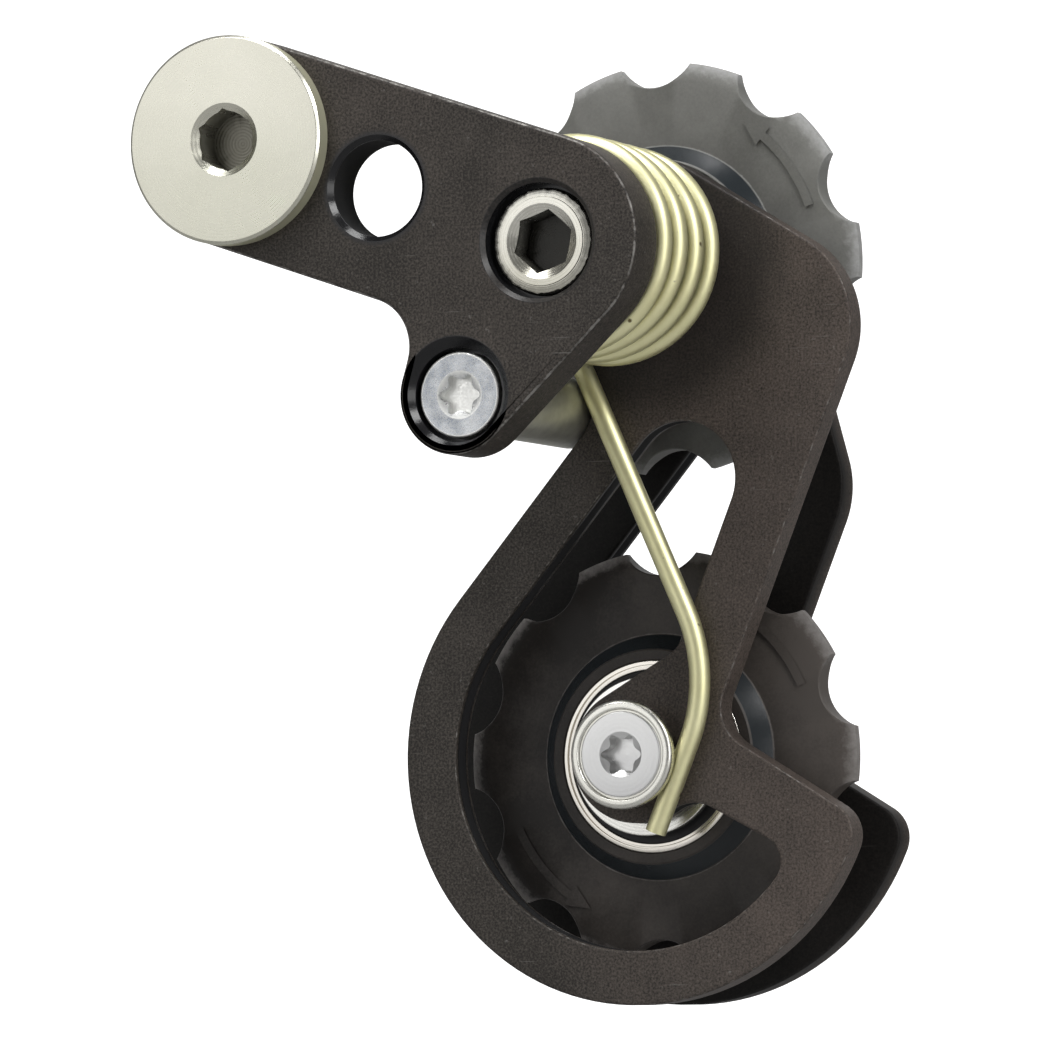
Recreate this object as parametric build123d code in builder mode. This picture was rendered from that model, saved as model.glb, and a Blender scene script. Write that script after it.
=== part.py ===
"""Bicycle chain tensioner: a sprung two-pulley cage that hangs from a bolt-on arm.

Millimetres. The origin is on the hanger bolt's axis, on the arm's back face.
+X runs forward along the bicycle, +Y towards the wheel, +Z up.
"""
import os
from math import atan2, cos, degrees, radians, sin, sqrt, tan

from build123d import *

os.makedirs("parts", exist_ok=True)

# Places of the three other axes, from the hanger bolt
pivot_x = 29.7
pivot_z = -10.0
stop_x = 21.8
stop_z = -23.3
lower_x = 29.35
lower_z = -54.6

# Fits, all radial or along the axis
running_clearance = 0.03
fit_clearance = 0.01
thread_clearance = 0.04
end_float = 0.05

# Hanger arm
arm_thickness = 5.0
arm_end_r = 9.4
arm_lobe_r = 5.35
arm_lobe_fillet = 4.5
arm_edge = 0.3
arm_hole_reach = 14.9
arm_hole_r = 4.3
arm_hole_edge = 0.35

# Hanger bolt and its snap ring
bolt_r = 5.0
bolt_reach = 10.0
bolt_tip = 0.6
bolt_head_r = 9.39
bolt_head_height = 1.8
bolt_head_edge = 0.25
hex_flats = 5.0
bolt_hex_depth = 3.5
bolt_hex_turn = 36.0
clip_thickness = 1.0
clip_width = 1.5
clip_bite = 0.6
clip_inset = 0.2
clip_gap = 3.0
clip_clearance = 0.1

# Pivot axle
axle_r = 4.0
axle_thread_r = 4.75
axle_recess = 1.0
axle_edge = 0.4
axle_pocket_r = 5.49
axle_hex_depth = 3.0
axle_hex_turn = 19.0
end_washer_r = 7.0
end_washer_thickness = 1.0
end_screw_r = 2.5
end_screw_reach = 8.0
end_screw_head_r = 4.4
end_screw_head_height = 2.4
end_screw_edge = 0.6
end_screw_hex_flats = 3.0
end_screw_hex_depth = 1.5
thrust_washer_r = 7.4
thrust_washer_thickness = 0.5

# Stop
stop_screw_r = 2.0
stop_screw_reach = 7.0
stop_head_r = 3.83
stop_head_height = 2.0
stop_head_edge = 0.3
stop_recess = 1.0
stop_pocket_r = 4.2
stop_pocket_edge = 0.9
stop_pin_r = 3.2
stop_pin_overlap = 0.6
stop_pin_edge = 0.4
stop_gap = 0.1

# Six-lobe sockets
lobe_socket_r = 1.45
lobe_socket_lobe_r = 0.45
lobe_socket_depth = 1.6

# Cage plates
plate_thickness = 2.8
plate_gap = 9.0
plate_front = 17.6
plate_edge = 0.25
ring_r = 22.5
strip_width = 4.9
pivot_boss_r = 9.7
lower_boss_r = 6.1
lobe_r = 8.95
outer_lobe_reach = 40.2
inner_lobe_reach = 25.5
leg_angle = 68.5
leg_width = 5.7
hook_angle = -31.0
brace_angle = 30.5
tongue_angle = -27.5
tongue_drop = 0.75
tip_fillet = 3.1
notch_fillet = 2.7
neck_fillet = 3.0
window_top_fillet = 5.25
window_leg_fillet = 2.5
window_boss_fillet = 4.0
window_pocket_fillet = 2.4

# Cage sleeve and lower axle
sleeve_wall = 1.0
lower_sleeve_r = 3.0
lower_screw_r = 2.0
lower_head_r = 4.03
lower_head_rim = 0.25
collar_flange_r = 4.93
collar_flange_height = 1.0
collar_neck_r = 4.05
collar_groove = 2.2
collar_edge = 0.2
nut_flats = 7.0
nut_height = 3.2
nut_edge = 0.4
screw_past_nut = 0.6
spacer_cap_r = 7.2
spacer_cap_height = 1.0
spacer_foot = 1.4

# Pulleys
tooth_count = 10
chain_pitch = 12.7
roller_seat_r = 3.95
tooth_drop = 1.65
tooth_thickness = 2.4
tooth_corner = 0.35
tooth_bevel = 0.45
tooth_bevel_run = 0.9
hub_r = 10.6
hub_base_r = 12.0
hub_edge = 0.3
upper_phase = 3.2
lower_phase = 0.5

# Ball bearings
bearing_width = 6.0
race_edge = 0.25
seal_thickness = 0.5
seal_inset = 0.1
seal_ledge = 0.8
seal_gap = 0.08
ball_clearance = 0.05
ball_count = 7
retainer_thickness = 0.6
retainer_side = 0.5
upper_bearing_r = 9.5
upper_inner_land = 1.5
upper_outer_land = 1.2
upper_ball_r = 1.25
lower_bearing_r = 8.75
lower_inner_land = 1.9
lower_outer_land = 1.65
lower_ball_r = 1.5

# Torsion spring
wire_r = 0.95
coil_r = 9.05
coil_pitch = 3.34
coil_start = -160.0
coil_turn = 1435.0
coil_drift_x = -0.4
coil_drift_z = -0.2
coil_gap = 0.25
tang_run = 3.0
tang_depth = 2.6
tang_bend = 1.2
tang_clearance = 0.1
tang_mouth = 0.8
guide_r = 7.4
leg_gap = 0.15
leg_lead = 1.6
leg_start_x = -6.2
leg_start_z = -6.6
leg_lean = -112.0
leg_knee = 9.5
leg_tail = 5.5
leg_lead_bend = 2.5
leg_start_bend = 5.0
leg_knee_bend = 15.0

# Worked-out levels along Y
arm_front = -arm_thickness
outer_back = plate_front + plate_thickness
inner_front = outer_back + plate_gap
inner_back = inner_front + plate_thickness
pulley_mid = (outer_back + inner_front) / 2
axle_end = inner_back + 2 * end_float + thrust_washer_thickness
sleeve_r = axle_r + running_clearance + sleeve_wall
spacer_height = (plate_gap - bearing_width) / 2
collar_front = plate_front - collar_groove - collar_flange_height

# The four axes as points in the XZ plane
bolt_at = Vector(0, 0)
pivot_at = Vector(pivot_x, pivot_z)
stop_at = Vector(stop_x, stop_z)
lower_at = Vector(lower_x, lower_z)


def facing(y):
    """Plane across the axes at depth y; extrusion from it runs towards the front."""
    return Plane.XZ.offset(-y)


def along(at):
    """Turning axis through a point of the XZ plane."""
    return Axis((at.X, 0, at.Y), (0, 1, 0))


def section(at, *outline):
    """Half section of a turned piece, given as (depth, radius) points."""
    with BuildSketch(Plane((at.X, 0, at.Y), x_dir=(0, 1, 0), z_dir=(1, 0, 0))) as half:
        with BuildLine():
            Polyline(*outline, close=True)
        make_face()
    return half.sketch


def groove_section(at, depth, radius, groove_r):
    """Round section of a ring groove about an axis."""
    with BuildSketch(Plane((at.X, 0, at.Y), x_dir=(0, 1, 0), z_dir=(1, 0, 0))) as half:
        with Locations((depth, radius)):
            Circle(groove_r)
    return half.sketch


def disc(at, y, radius):
    """Round sketch about an axis at depth y."""
    with BuildSketch(facing(y)) as face:
        with Locations((at.X, at.Y)):
            Circle(radius)
    return face.sketch


def hex_socket(at, y, flats, turn):
    """Hexagon about an axis at depth y."""
    with BuildSketch(facing(y)) as face:
        with Locations((at.X, at.Y)):
            RegularPolygon(flats / 2, 6, major_radius=False, rotation=turn)
    return face.sketch


def lobe_socket(at, y):
    """Six-lobe socket about an axis at depth y."""
    with BuildSketch(facing(y)) as face:
        with Locations((at.X, at.Y)):
            Circle(lobe_socket_r)
            with PolarLocations(lobe_socket_r, 6):
                Circle(lobe_socket_lobe_r)
    return face.sketch


def unit(angle):
    """Unit vector at an angle in degrees."""
    return Vector(cos(radians(angle)), sin(radians(angle)))


def left_of(direction):
    """The direction turned a quarter turn to its left."""
    return Vector(-direction.Y, direction.X)


def angle_of(at, point):
    """Angle in degrees of a point seen from a centre."""
    return degrees(atan2(point.Y - at.Y, point.X - at.X))


def tangent(at_a, r_a, at_b, r_b):
    """Ends of the common tangent of two circles; a positive radius lies left of the way a to b."""
    way = (at_b - at_a).normalized()
    lean = (r_a - r_b) / (at_b - at_a).length
    normal = way * lean + left_of(way) * sqrt(1 - lean**2)
    return at_a + normal * r_a, at_b + normal * r_b


def meet(point_a, way_a, point_b, way_b):
    """Crossing point of two lines."""
    gap = point_b - point_a
    reach = (gap.X * way_b.Y - gap.Y * way_b.X) / (way_a.X * way_b.Y - way_a.Y * way_b.X)
    return point_a + way_a * reach


def chord_end(at, r, point, way, side):
    """Where a line meets a circle, at the far (1) or near (-1) side along its way."""
    middle = (at - point).dot(way)
    off = (at - point - way * middle).length
    return point + way * (middle + side * sqrt(r**2 - off**2))


def round_arc(at, r, start, end):
    """Arc about a centre, counter-clockwise between two points on it."""
    start_angle = angle_of(at, start)
    return CenterArc((at.X, at.Y), r, start_angle, (angle_of(at, end) - start_angle) % 360)


def bent_wire(points, bends):
    """Straight runs through the points, joined by tangent arcs of the given radii."""
    start = points[0]
    with BuildLine() as route:
        for knee, after, bend in zip(points[1:-1], points[2:], bends):
            way_in = (knee - start).normalized()
            way_out = (after - knee).normalized()
            half_turn = radians(way_in.get_angle(way_out)) / 2
            trim = bend * tan(half_turn)
            inside = (way_out - way_in).normalized() * (bend / cos(half_turn) - bend)
            Line(start, knee - way_in * trim)
            ThreePointArc(knee - way_in * trim, knee + inside, knee + way_out * trim)
            start = knee + way_out * trim
        Line(start, points[-1])
    return route.edges()


def corner(sketch, point):
    """The sketch's vertex at a point."""
    return sketch.vertices().sort_by_distance((point.X, point.Y, 0))[0]


# Hanger arm: bar between the bolt and the pivot, with a lobe out to the stop
bar_top = tangent(bolt_at, arm_end_r, pivot_at, arm_end_r)
bar_low = tangent(bolt_at, -arm_end_r, pivot_at, -arm_end_r)
lobe_front = tangent(pivot_at, arm_end_r, stop_at, arm_lobe_r)
lobe_rear = tangent(pivot_at, -arm_end_r, stop_at, -arm_lobe_r)
lobe_corner = meet(bar_low[0], bar_low[1] - bar_low[0], lobe_rear[0], lobe_rear[1] - lobe_rear[0])
arm_hole_at = pivot_at.normalized() * arm_hole_reach
clip_groove_r = bolt_r - clip_bite
clip_r = clip_groove_r + fit_clearance + clip_width
clip_back = -clip_inset
clip_front = clip_back - clip_thickness
clip_pocket_r = clip_r + clip_clearance
coil_at = pivot_at + Vector(coil_drift_x, coil_drift_z)
coil_level = wire_r + coil_gap
coil_begin = coil_at + unit(coil_start) * coil_r
tang_at = coil_begin - unit(coil_start + 90) * tang_run

with BuildPart() as hanger_arm:
    with BuildSketch(facing(0)) as arm_outline:
        with Locations((bolt_at.X, bolt_at.Y), (pivot_at.X, pivot_at.Y)):
            Circle(arm_end_r)
        with Locations((stop_at.X, stop_at.Y)):
            Circle(arm_lobe_r)
        with BuildLine():
            Polyline(bar_low[0], bar_low[1], bar_top[1], bar_top[0], close=True)
        make_face()
        with BuildLine():
            Polyline(lobe_front[0], lobe_front[1], lobe_rear[1], lobe_rear[0], close=True)
        make_face()
        fillet(corner(arm_outline, lobe_corner), arm_lobe_fillet)
    extrude(amount=arm_thickness)
    chamfer(hanger_arm.faces().filter_by(Axis.Y).edges(), arm_edge)
    extrude(disc(bolt_at, 0, bolt_r + thread_clearance), amount=arm_thickness, mode=Mode.SUBTRACT)
    extrude(disc(bolt_at, 0, clip_pocket_r), amount=clip_inset + clip_thickness, mode=Mode.SUBTRACT)
    revolve(
        section(
            arm_hole_at,
            (arm_front, 0),
            (arm_front, arm_hole_r + arm_hole_edge),
            (arm_front + arm_hole_edge, arm_hole_r),
            (-arm_hole_edge, arm_hole_r),
            (0, arm_hole_r + arm_hole_edge),
            (0, 0),
        ),
        axis=along(arm_hole_at),
        mode=Mode.SUBTRACT,
    )
    revolve(
        section(
            pivot_at,
            (arm_front, 0),
            (arm_front, axle_pocket_r),
            (arm_front + axle_recess, axle_pocket_r),
            (arm_front + axle_recess, axle_thread_r + thread_clearance),
            (0, axle_thread_r + thread_clearance),
            (0, 0),
        ),
        axis=along(pivot_at),
        mode=Mode.SUBTRACT,
    )
    revolve(
        section(
            stop_at,
            (arm_front, 0),
            (arm_front, stop_pocket_r + stop_pocket_edge),
            (arm_front + stop_pocket_edge, stop_pocket_r),
            (arm_front + stop_recess + stop_head_height, stop_pocket_r),
            (arm_front + stop_recess + stop_head_height, stop_screw_r + thread_clearance),
            (0, stop_screw_r + thread_clearance),
            (0, 0),
        ),
        axis=along(stop_at),
        mode=Mode.SUBTRACT,
    )
    revolve(
        section(
            tang_at,
            (-tang_depth - 2 * tang_clearance, 0),
            (-tang_depth - 2 * tang_clearance, wire_r + tang_clearance),
            (-tang_mouth, wire_r + tang_clearance),
            (0, wire_r + tang_clearance + tang_mouth),
            (0, 0),
        ),
        axis=along(tang_at),
        mode=Mode.SUBTRACT,
    )
hanger_arm.part.label = "hanger_arm"
export_step(hanger_arm.part, "parts/hanger_arm.step")

# Hanger bolt: wide flat head, plain shank at the thread's outside size
bolt_seat = arm_front
bolt_face = bolt_seat - bolt_head_height
with BuildPart() as hanger_bolt:
    revolve(
        section(
            bolt_at,
            (bolt_face, 0),
            (bolt_face, bolt_head_r - bolt_head_edge),
            (bolt_face + bolt_head_edge, bolt_head_r),
            (bolt_seat, bolt_head_r),
            (bolt_seat, bolt_r),
            (clip_front, bolt_r),
            (clip_front, clip_groove_r),
            (clip_back, clip_groove_r),
            (clip_back, bolt_r),
            (bolt_reach - bolt_tip, bolt_r),
            (bolt_reach, bolt_r - bolt_tip),
            (bolt_reach, 0),
        ),
        axis=along(bolt_at),
    )
    extrude(
        hex_socket(bolt_at, bolt_face, hex_flats, bolt_hex_turn),
        amount=-bolt_hex_depth,
        mode=Mode.SUBTRACT,
    )
hanger_bolt.part.label = "hanger_bolt"
export_step(hanger_bolt.part, "parts/hanger_bolt.step")

# Snap ring in the bolt's groove, open at the bottom
with BuildPart() as bolt_clip:
    extrude(disc(bolt_at, clip_back, clip_r), amount=clip_thickness)
    extrude(
        disc(bolt_at, clip_back, clip_groove_r + fit_clearance),
        amount=clip_thickness,
        mode=Mode.SUBTRACT,
    )
    with BuildSketch(facing(clip_back)):
        with Locations((0, -clip_r)):
            Rectangle(clip_gap, 2 * clip_r)
    extrude(amount=clip_thickness, mode=Mode.SUBTRACT)
bolt_clip.part.label = "bolt_clip"
export_step(bolt_clip.part, "parts/bolt_clip.step")

# Pivot axle: threaded end in the arm, plain journal behind it, tapped at the back
axle_face = arm_front + axle_recess
with BuildPart() as pivot_axle:
    revolve(
        section(
            pivot_at,
            (axle_face, 0),
            (axle_face, axle_thread_r - axle_edge),
            (axle_face + axle_edge, axle_thread_r),
            (0, axle_thread_r),
            (0, axle_r),
            (axle_end, axle_r),
            (axle_end, end_screw_r + thread_clearance),
            (axle_end - end_screw_reach - thread_clearance, end_screw_r + thread_clearance),
            (axle_end - end_screw_reach - thread_clearance, 0),
        ),
        axis=along(pivot_at),
    )
    extrude(
        hex_socket(pivot_at, axle_face, hex_flats, axle_hex_turn),
        amount=-axle_hex_depth,
        mode=Mode.SUBTRACT,
    )
pivot_axle.part.label = "pivot_axle"
export_step(pivot_axle.part, "parts/pivot_axle.step")

# Washers and screw that keep the cage on the axle
guide_end = plate_front - thrust_washer_thickness - 2 * end_float
washer_bore_r = axle_r + running_clearance
with BuildPart() as front_thrust_washer:
    extrude(disc(pivot_at, plate_front - end_float, thrust_washer_r), amount=thrust_washer_thickness)
    extrude(
        disc(pivot_at, plate_front - end_float, washer_bore_r),
        amount=thrust_washer_thickness,
        mode=Mode.SUBTRACT,
    )
front_thrust_washer.part.label = "front_thrust_washer"
export_step(front_thrust_washer.part, "parts/front_thrust_washer.step")

with BuildPart() as back_thrust_washer:
    extrude(disc(pivot_at, axle_end - end_float, thrust_washer_r), amount=thrust_washer_thickness)
    extrude(
        disc(pivot_at, axle_end - end_float, washer_bore_r),
        amount=thrust_washer_thickness,
        mode=Mode.SUBTRACT,
    )
back_thrust_washer.part.label = "back_thrust_washer"
export_step(back_thrust_washer.part, "parts/back_thrust_washer.step")

end_washer_back = axle_end + end_washer_thickness
with BuildPart() as end_washer:
    extrude(disc(pivot_at, end_washer_back, end_washer_r), amount=end_washer_thickness)
    extrude(
        disc(pivot_at, end_washer_back, end_screw_r + thread_clearance),
        amount=end_washer_thickness,
        mode=Mode.SUBTRACT,
    )
end_washer.part.label = "end_washer"
export_step(end_washer.part, "parts/end_washer.step")

end_screw_face = end_washer_back + end_screw_head_height
with BuildPart() as end_screw:
    revolve(
        section(
            pivot_at,
            (axle_end - end_screw_reach, 0),
            (axle_end - end_screw_reach, end_screw_r),
            (end_washer_back, end_screw_r),
            (end_washer_back, end_screw_head_r),
            (end_screw_face - end_screw_edge, end_screw_head_r),
            (end_screw_face, end_screw_head_r - end_screw_edge),
            (end_screw_face, 0),
        ),
        axis=along(pivot_at),
    )
    extrude(
        hex_socket(pivot_at, end_screw_face, end_screw_hex_flats, 0),
        amount=end_screw_hex_depth,
        mode=Mode.SUBTRACT,
    )
end_screw.part.label = "end_screw"
export_step(end_screw.part, "parts/end_screw.step")

# Sleeve on the axle that the coils sit round
with BuildPart() as spring_guide:
    extrude(disc(pivot_at, guide_end, guide_r), amount=guide_end)
    extrude(disc(pivot_at, guide_end, washer_bore_r), amount=guide_end, mode=Mode.SUBTRACT)
spring_guide.part.label = "spring_guide"
export_step(spring_guide.part, "parts/spring_guide.step")

# Stop: screw from the front, pin behind the lobe
stop_face = arm_front + stop_recess
stop_head_seat = stop_face + stop_head_height
with BuildPart() as stop_screw:
    revolve(
        section(
            stop_at,
            (stop_face, 0),
            (stop_face, stop_head_r - stop_head_edge),
            (stop_face + stop_head_edge, stop_head_r),
            (stop_head_seat, stop_head_r),
            (stop_head_seat, stop_screw_r),
            (stop_screw_reach, stop_screw_r),
            (stop_screw_reach, 0),
        ),
        axis=along(stop_at),
    )
    extrude(lobe_socket(stop_at, stop_face), amount=-lobe_socket_depth, mode=Mode.SUBTRACT)
stop_screw.part.label = "stop_screw"
export_step(stop_screw.part, "parts/stop_screw.step")

stop_pin_end = outer_back + stop_pin_overlap
with BuildPart() as stop_pin:
    revolve(
        section(
            stop_at,
            (0, stop_screw_r + thread_clearance),
            (0, stop_pin_r),
            (stop_pin_end - stop_pin_edge, stop_pin_r),
            (stop_pin_end, stop_pin_r - stop_pin_edge),
            (stop_pin_end, 0),
            (stop_screw_reach + stop_pin_edge, 0),
            (stop_screw_reach + stop_pin_edge, stop_screw_r + thread_clearance),
        ),
        axis=along(stop_at),
    )
stop_pin.part.label = "stop_pin"
export_step(stop_pin.part, "parts/stop_pin.step")

# Lines shared by both cage plates
leg_way = unit(leg_angle)
leg_side = unit(leg_angle - 90)
leg_foot = lower_at + leg_side * lower_boss_r
leg_inner = lower_at + leg_side * (lower_boss_r - leg_width)
hook_way = unit(hook_angle)
hook_base = lower_at + left_of(hook_way) * lower_boss_r
tip_corner = chord_end(lower_at, ring_r, hook_base, hook_way, 1)
notch_corner = meet(leg_foot, leg_way, hook_base, hook_way)
strip_start, strip_rest = tangent(lower_at, ring_r, stop_at, -(stop_pin_r + stop_gap))
strip_way = (strip_rest - strip_start).normalized()
neck_corner = chord_end(pivot_at, pivot_boss_r, strip_start, strip_way, -1)
window_r = ring_r - strip_width


def plate_outline(y, lobe_reach):
    """Outside of a cage plate at depth y; lobe_reach places its front upper corner along the leg."""
    lobe_at = lower_at + leg_way * lobe_reach + leg_side * (lower_boss_r - lobe_r)
    lobe_end = lobe_at + leg_side * lobe_r
    top_start, top_end = tangent(pivot_at, pivot_boss_r, lobe_at, lobe_r)
    with BuildSketch(facing(y)) as outline:
        with BuildLine():
            Line(neck_corner, strip_start)
            round_arc(lower_at, ring_r, strip_start, tip_corner)
            Polyline(tip_corner, notch_corner, lobe_end)
            round_arc(lobe_at, lobe_r, lobe_end, top_end)
            Line(top_end, top_start)
            round_arc(pivot_at, pivot_boss_r, top_start, neck_corner)
        make_face()
        fillet(corner(outline, tip_corner), tip_fillet)
        fillet(corner(outline, notch_corner), notch_fillet)
        fillet(corner(outline, neck_corner), neck_fillet)
    return outline.sketch


def window_outline(y):
    """Comma-shaped window of a cage plate at depth y."""
    start = lower_at + left_of(strip_way) * window_r
    top = meet(start, strip_way, leg_inner, leg_way)
    brace_way = unit(brace_angle)
    brace_end = lower_at + left_of(brace_way) * lower_boss_r
    brace_corner = meet(brace_end, brace_way, leg_inner, leg_way)
    tongue_way = unit(tongue_angle)
    tongue_base = lower_at - left_of(tongue_way) * tongue_drop
    tongue_start = chord_end(lower_at, lower_boss_r, tongue_base, tongue_way, 1)
    pocket = chord_end(lower_at, window_r, tongue_base, tongue_way, 1)
    with BuildSketch(facing(y)) as outline:
        with BuildLine():
            Polyline(start, top, brace_corner, brace_end)
            round_arc(lower_at, lower_boss_r, brace_end, tongue_start)
            Line(tongue_start, pocket)
            round_arc(lower_at, window_r, start, pocket)
        make_face()
        fillet(corner(outline, top), window_top_fillet)
        fillet(corner(outline, brace_corner), window_leg_fillet)
        fillet(corner(outline, tongue_start), window_boss_fillet)
        fillet(corner(outline, pocket), window_pocket_fillet)
    return outline.sketch


# Cage plates
with BuildPart() as outer_plate:
    extrude(plate_outline(outer_back, outer_lobe_reach), amount=plate_thickness)
    extrude(window_outline(outer_back), amount=plate_thickness, mode=Mode.SUBTRACT)
    chamfer(outer_plate.faces().filter_by(Axis.Y).edges(), plate_edge)
    extrude(
        disc(pivot_at, outer_back, sleeve_r + fit_clearance),
        amount=plate_thickness,
        mode=Mode.SUBTRACT,
    )
    extrude(
        disc(lower_at, outer_back, lower_screw_r + fit_clearance),
        amount=plate_thickness,
        mode=Mode.SUBTRACT,
    )
outer_plate.part.label = "outer_plate"
export_step(outer_plate.part, "parts/outer_plate.step")

with BuildPart() as inner_plate:
    extrude(plate_outline(inner_back, inner_lobe_reach), amount=plate_thickness)
    extrude(window_outline(inner_back), amount=plate_thickness, mode=Mode.SUBTRACT)
    chamfer(inner_plate.faces().filter_by(Axis.Y).edges(), plate_edge)
    extrude(
        disc(pivot_at, inner_back, sleeve_r + fit_clearance),
        amount=plate_thickness,
        mode=Mode.SUBTRACT,
    )
    extrude(
        disc(lower_at, inner_back, lower_screw_r + fit_clearance),
        amount=plate_thickness,
        mode=Mode.SUBTRACT,
    )
inner_plate.part.label = "inner_plate"
export_step(inner_plate.part, "parts/inner_plate.step")

# Sleeve pressed in both plates, turning on the axle
with BuildPart() as cage_sleeve:
    extrude(disc(pivot_at, inner_back, sleeve_r), amount=inner_back - plate_front)
    extrude(
        disc(pivot_at, inner_back, axle_r + running_clearance),
        amount=inner_back - plate_front,
        mode=Mode.SUBTRACT,
    )
cage_sleeve.part.label = "cage_sleeve"
export_step(cage_sleeve.part, "parts/cage_sleeve.step")

# Lower axle: sleeve, countersunk screw in the spring collar, nut at the back
with BuildPart() as lower_axle_sleeve:
    extrude(disc(lower_at, inner_front, lower_sleeve_r), amount=plate_gap)
    extrude(
        disc(lower_at, inner_front, lower_screw_r + fit_clearance),
        amount=plate_gap,
        mode=Mode.SUBTRACT,
    )
lower_axle_sleeve.part.label = "lower_axle_sleeve"
export_step(lower_axle_sleeve.part, "parts/lower_axle_sleeve.step")

head_cone_end = collar_front + lower_head_rim + lower_head_r - lower_screw_r
lower_screw_end = inner_back + nut_height + screw_past_nut
with BuildPart() as lower_axle_screw:
    revolve(
        section(
            lower_at,
            (collar_front, 0),
            (collar_front, lower_head_r),
            (collar_front + lower_head_rim, lower_head_r),
            (head_cone_end, lower_screw_r),
            (lower_screw_end, lower_screw_r),
            (lower_screw_end, 0),
        ),
        axis=along(lower_at),
    )
    extrude(lobe_socket(lower_at, collar_front), amount=-lobe_socket_depth, mode=Mode.SUBTRACT)
lower_axle_screw.part.label = "lower_axle_screw"
export_step(lower_axle_screw.part, "parts/lower_axle_screw.step")

collar_flange_back = collar_front + collar_flange_height
with BuildPart() as spring_collar:
    revolve(
        section(
            lower_at,
            (collar_front, lower_head_r + fit_clearance),
            (collar_front, collar_flange_r - collar_edge),
            (collar_front + collar_edge, collar_flange_r),
            (collar_flange_back, collar_flange_r),
            (collar_flange_back, collar_neck_r),
            (plate_front, collar_neck_r),
            (plate_front, lower_screw_r + fit_clearance),
            (head_cone_end, lower_screw_r + fit_clearance),
            (collar_front + lower_head_rim, lower_head_r + fit_clearance),
        ),
        axis=along(lower_at),
    )
spring_collar.part.label = "spring_collar"
export_step(spring_collar.part, "parts/spring_collar.step")

with BuildPart() as lower_axle_nut:
    extrude(hex_socket(lower_at, inner_back + nut_height, nut_flats, 0), amount=nut_height)
    chamfer(lower_axle_nut.faces().sort_by(Axis.Y)[-1].edges(), nut_edge)
    extrude(
        disc(lower_at, inner_back + nut_height, lower_screw_r + thread_clearance),
        amount=nut_height,
        mode=Mode.SUBTRACT,
    )
lower_axle_nut.part.label = "lower_axle_nut"
export_step(lower_axle_nut.part, "parts/lower_axle_nut.step")

# Cap washers between the plates and the bearings
wheels = {
    "upper": (
        pivot_at,
        upper_phase,
        sleeve_r,
        upper_bearing_r,
        upper_inner_land,
        upper_outer_land,
        upper_ball_r,
    ),
    "lower": (
        lower_at,
        lower_phase,
        lower_sleeve_r,
        lower_bearing_r,
        lower_inner_land,
        lower_outer_land,
        lower_ball_r,
    ),
}
for wheel, (at, phase, shaft_r, bearing_r, inner_land, outer_land, ball_r) in wheels.items():
    for side, seat, way in (("outer", outer_back, 1), ("inner", inner_front, -1)):
        with BuildPart() as spacer:
            revolve(
                section(
                    at,
                    (seat, shaft_r + fit_clearance),
                    (seat, spacer_cap_r),
                    (seat + way * spacer_cap_height, spacer_cap_r),
                    (seat + way * spacer_cap_height, shaft_r + spacer_foot),
                    (seat + way * spacer_height, shaft_r + spacer_foot),
                    (seat + way * spacer_height, shaft_r + fit_clearance),
                ),
                axis=along(at),
            )
        spacer.part.label = f"{wheel}_{side}_spacer"
        export_step(spacer.part, f"parts/{wheel}_{side}_spacer.step")

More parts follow.
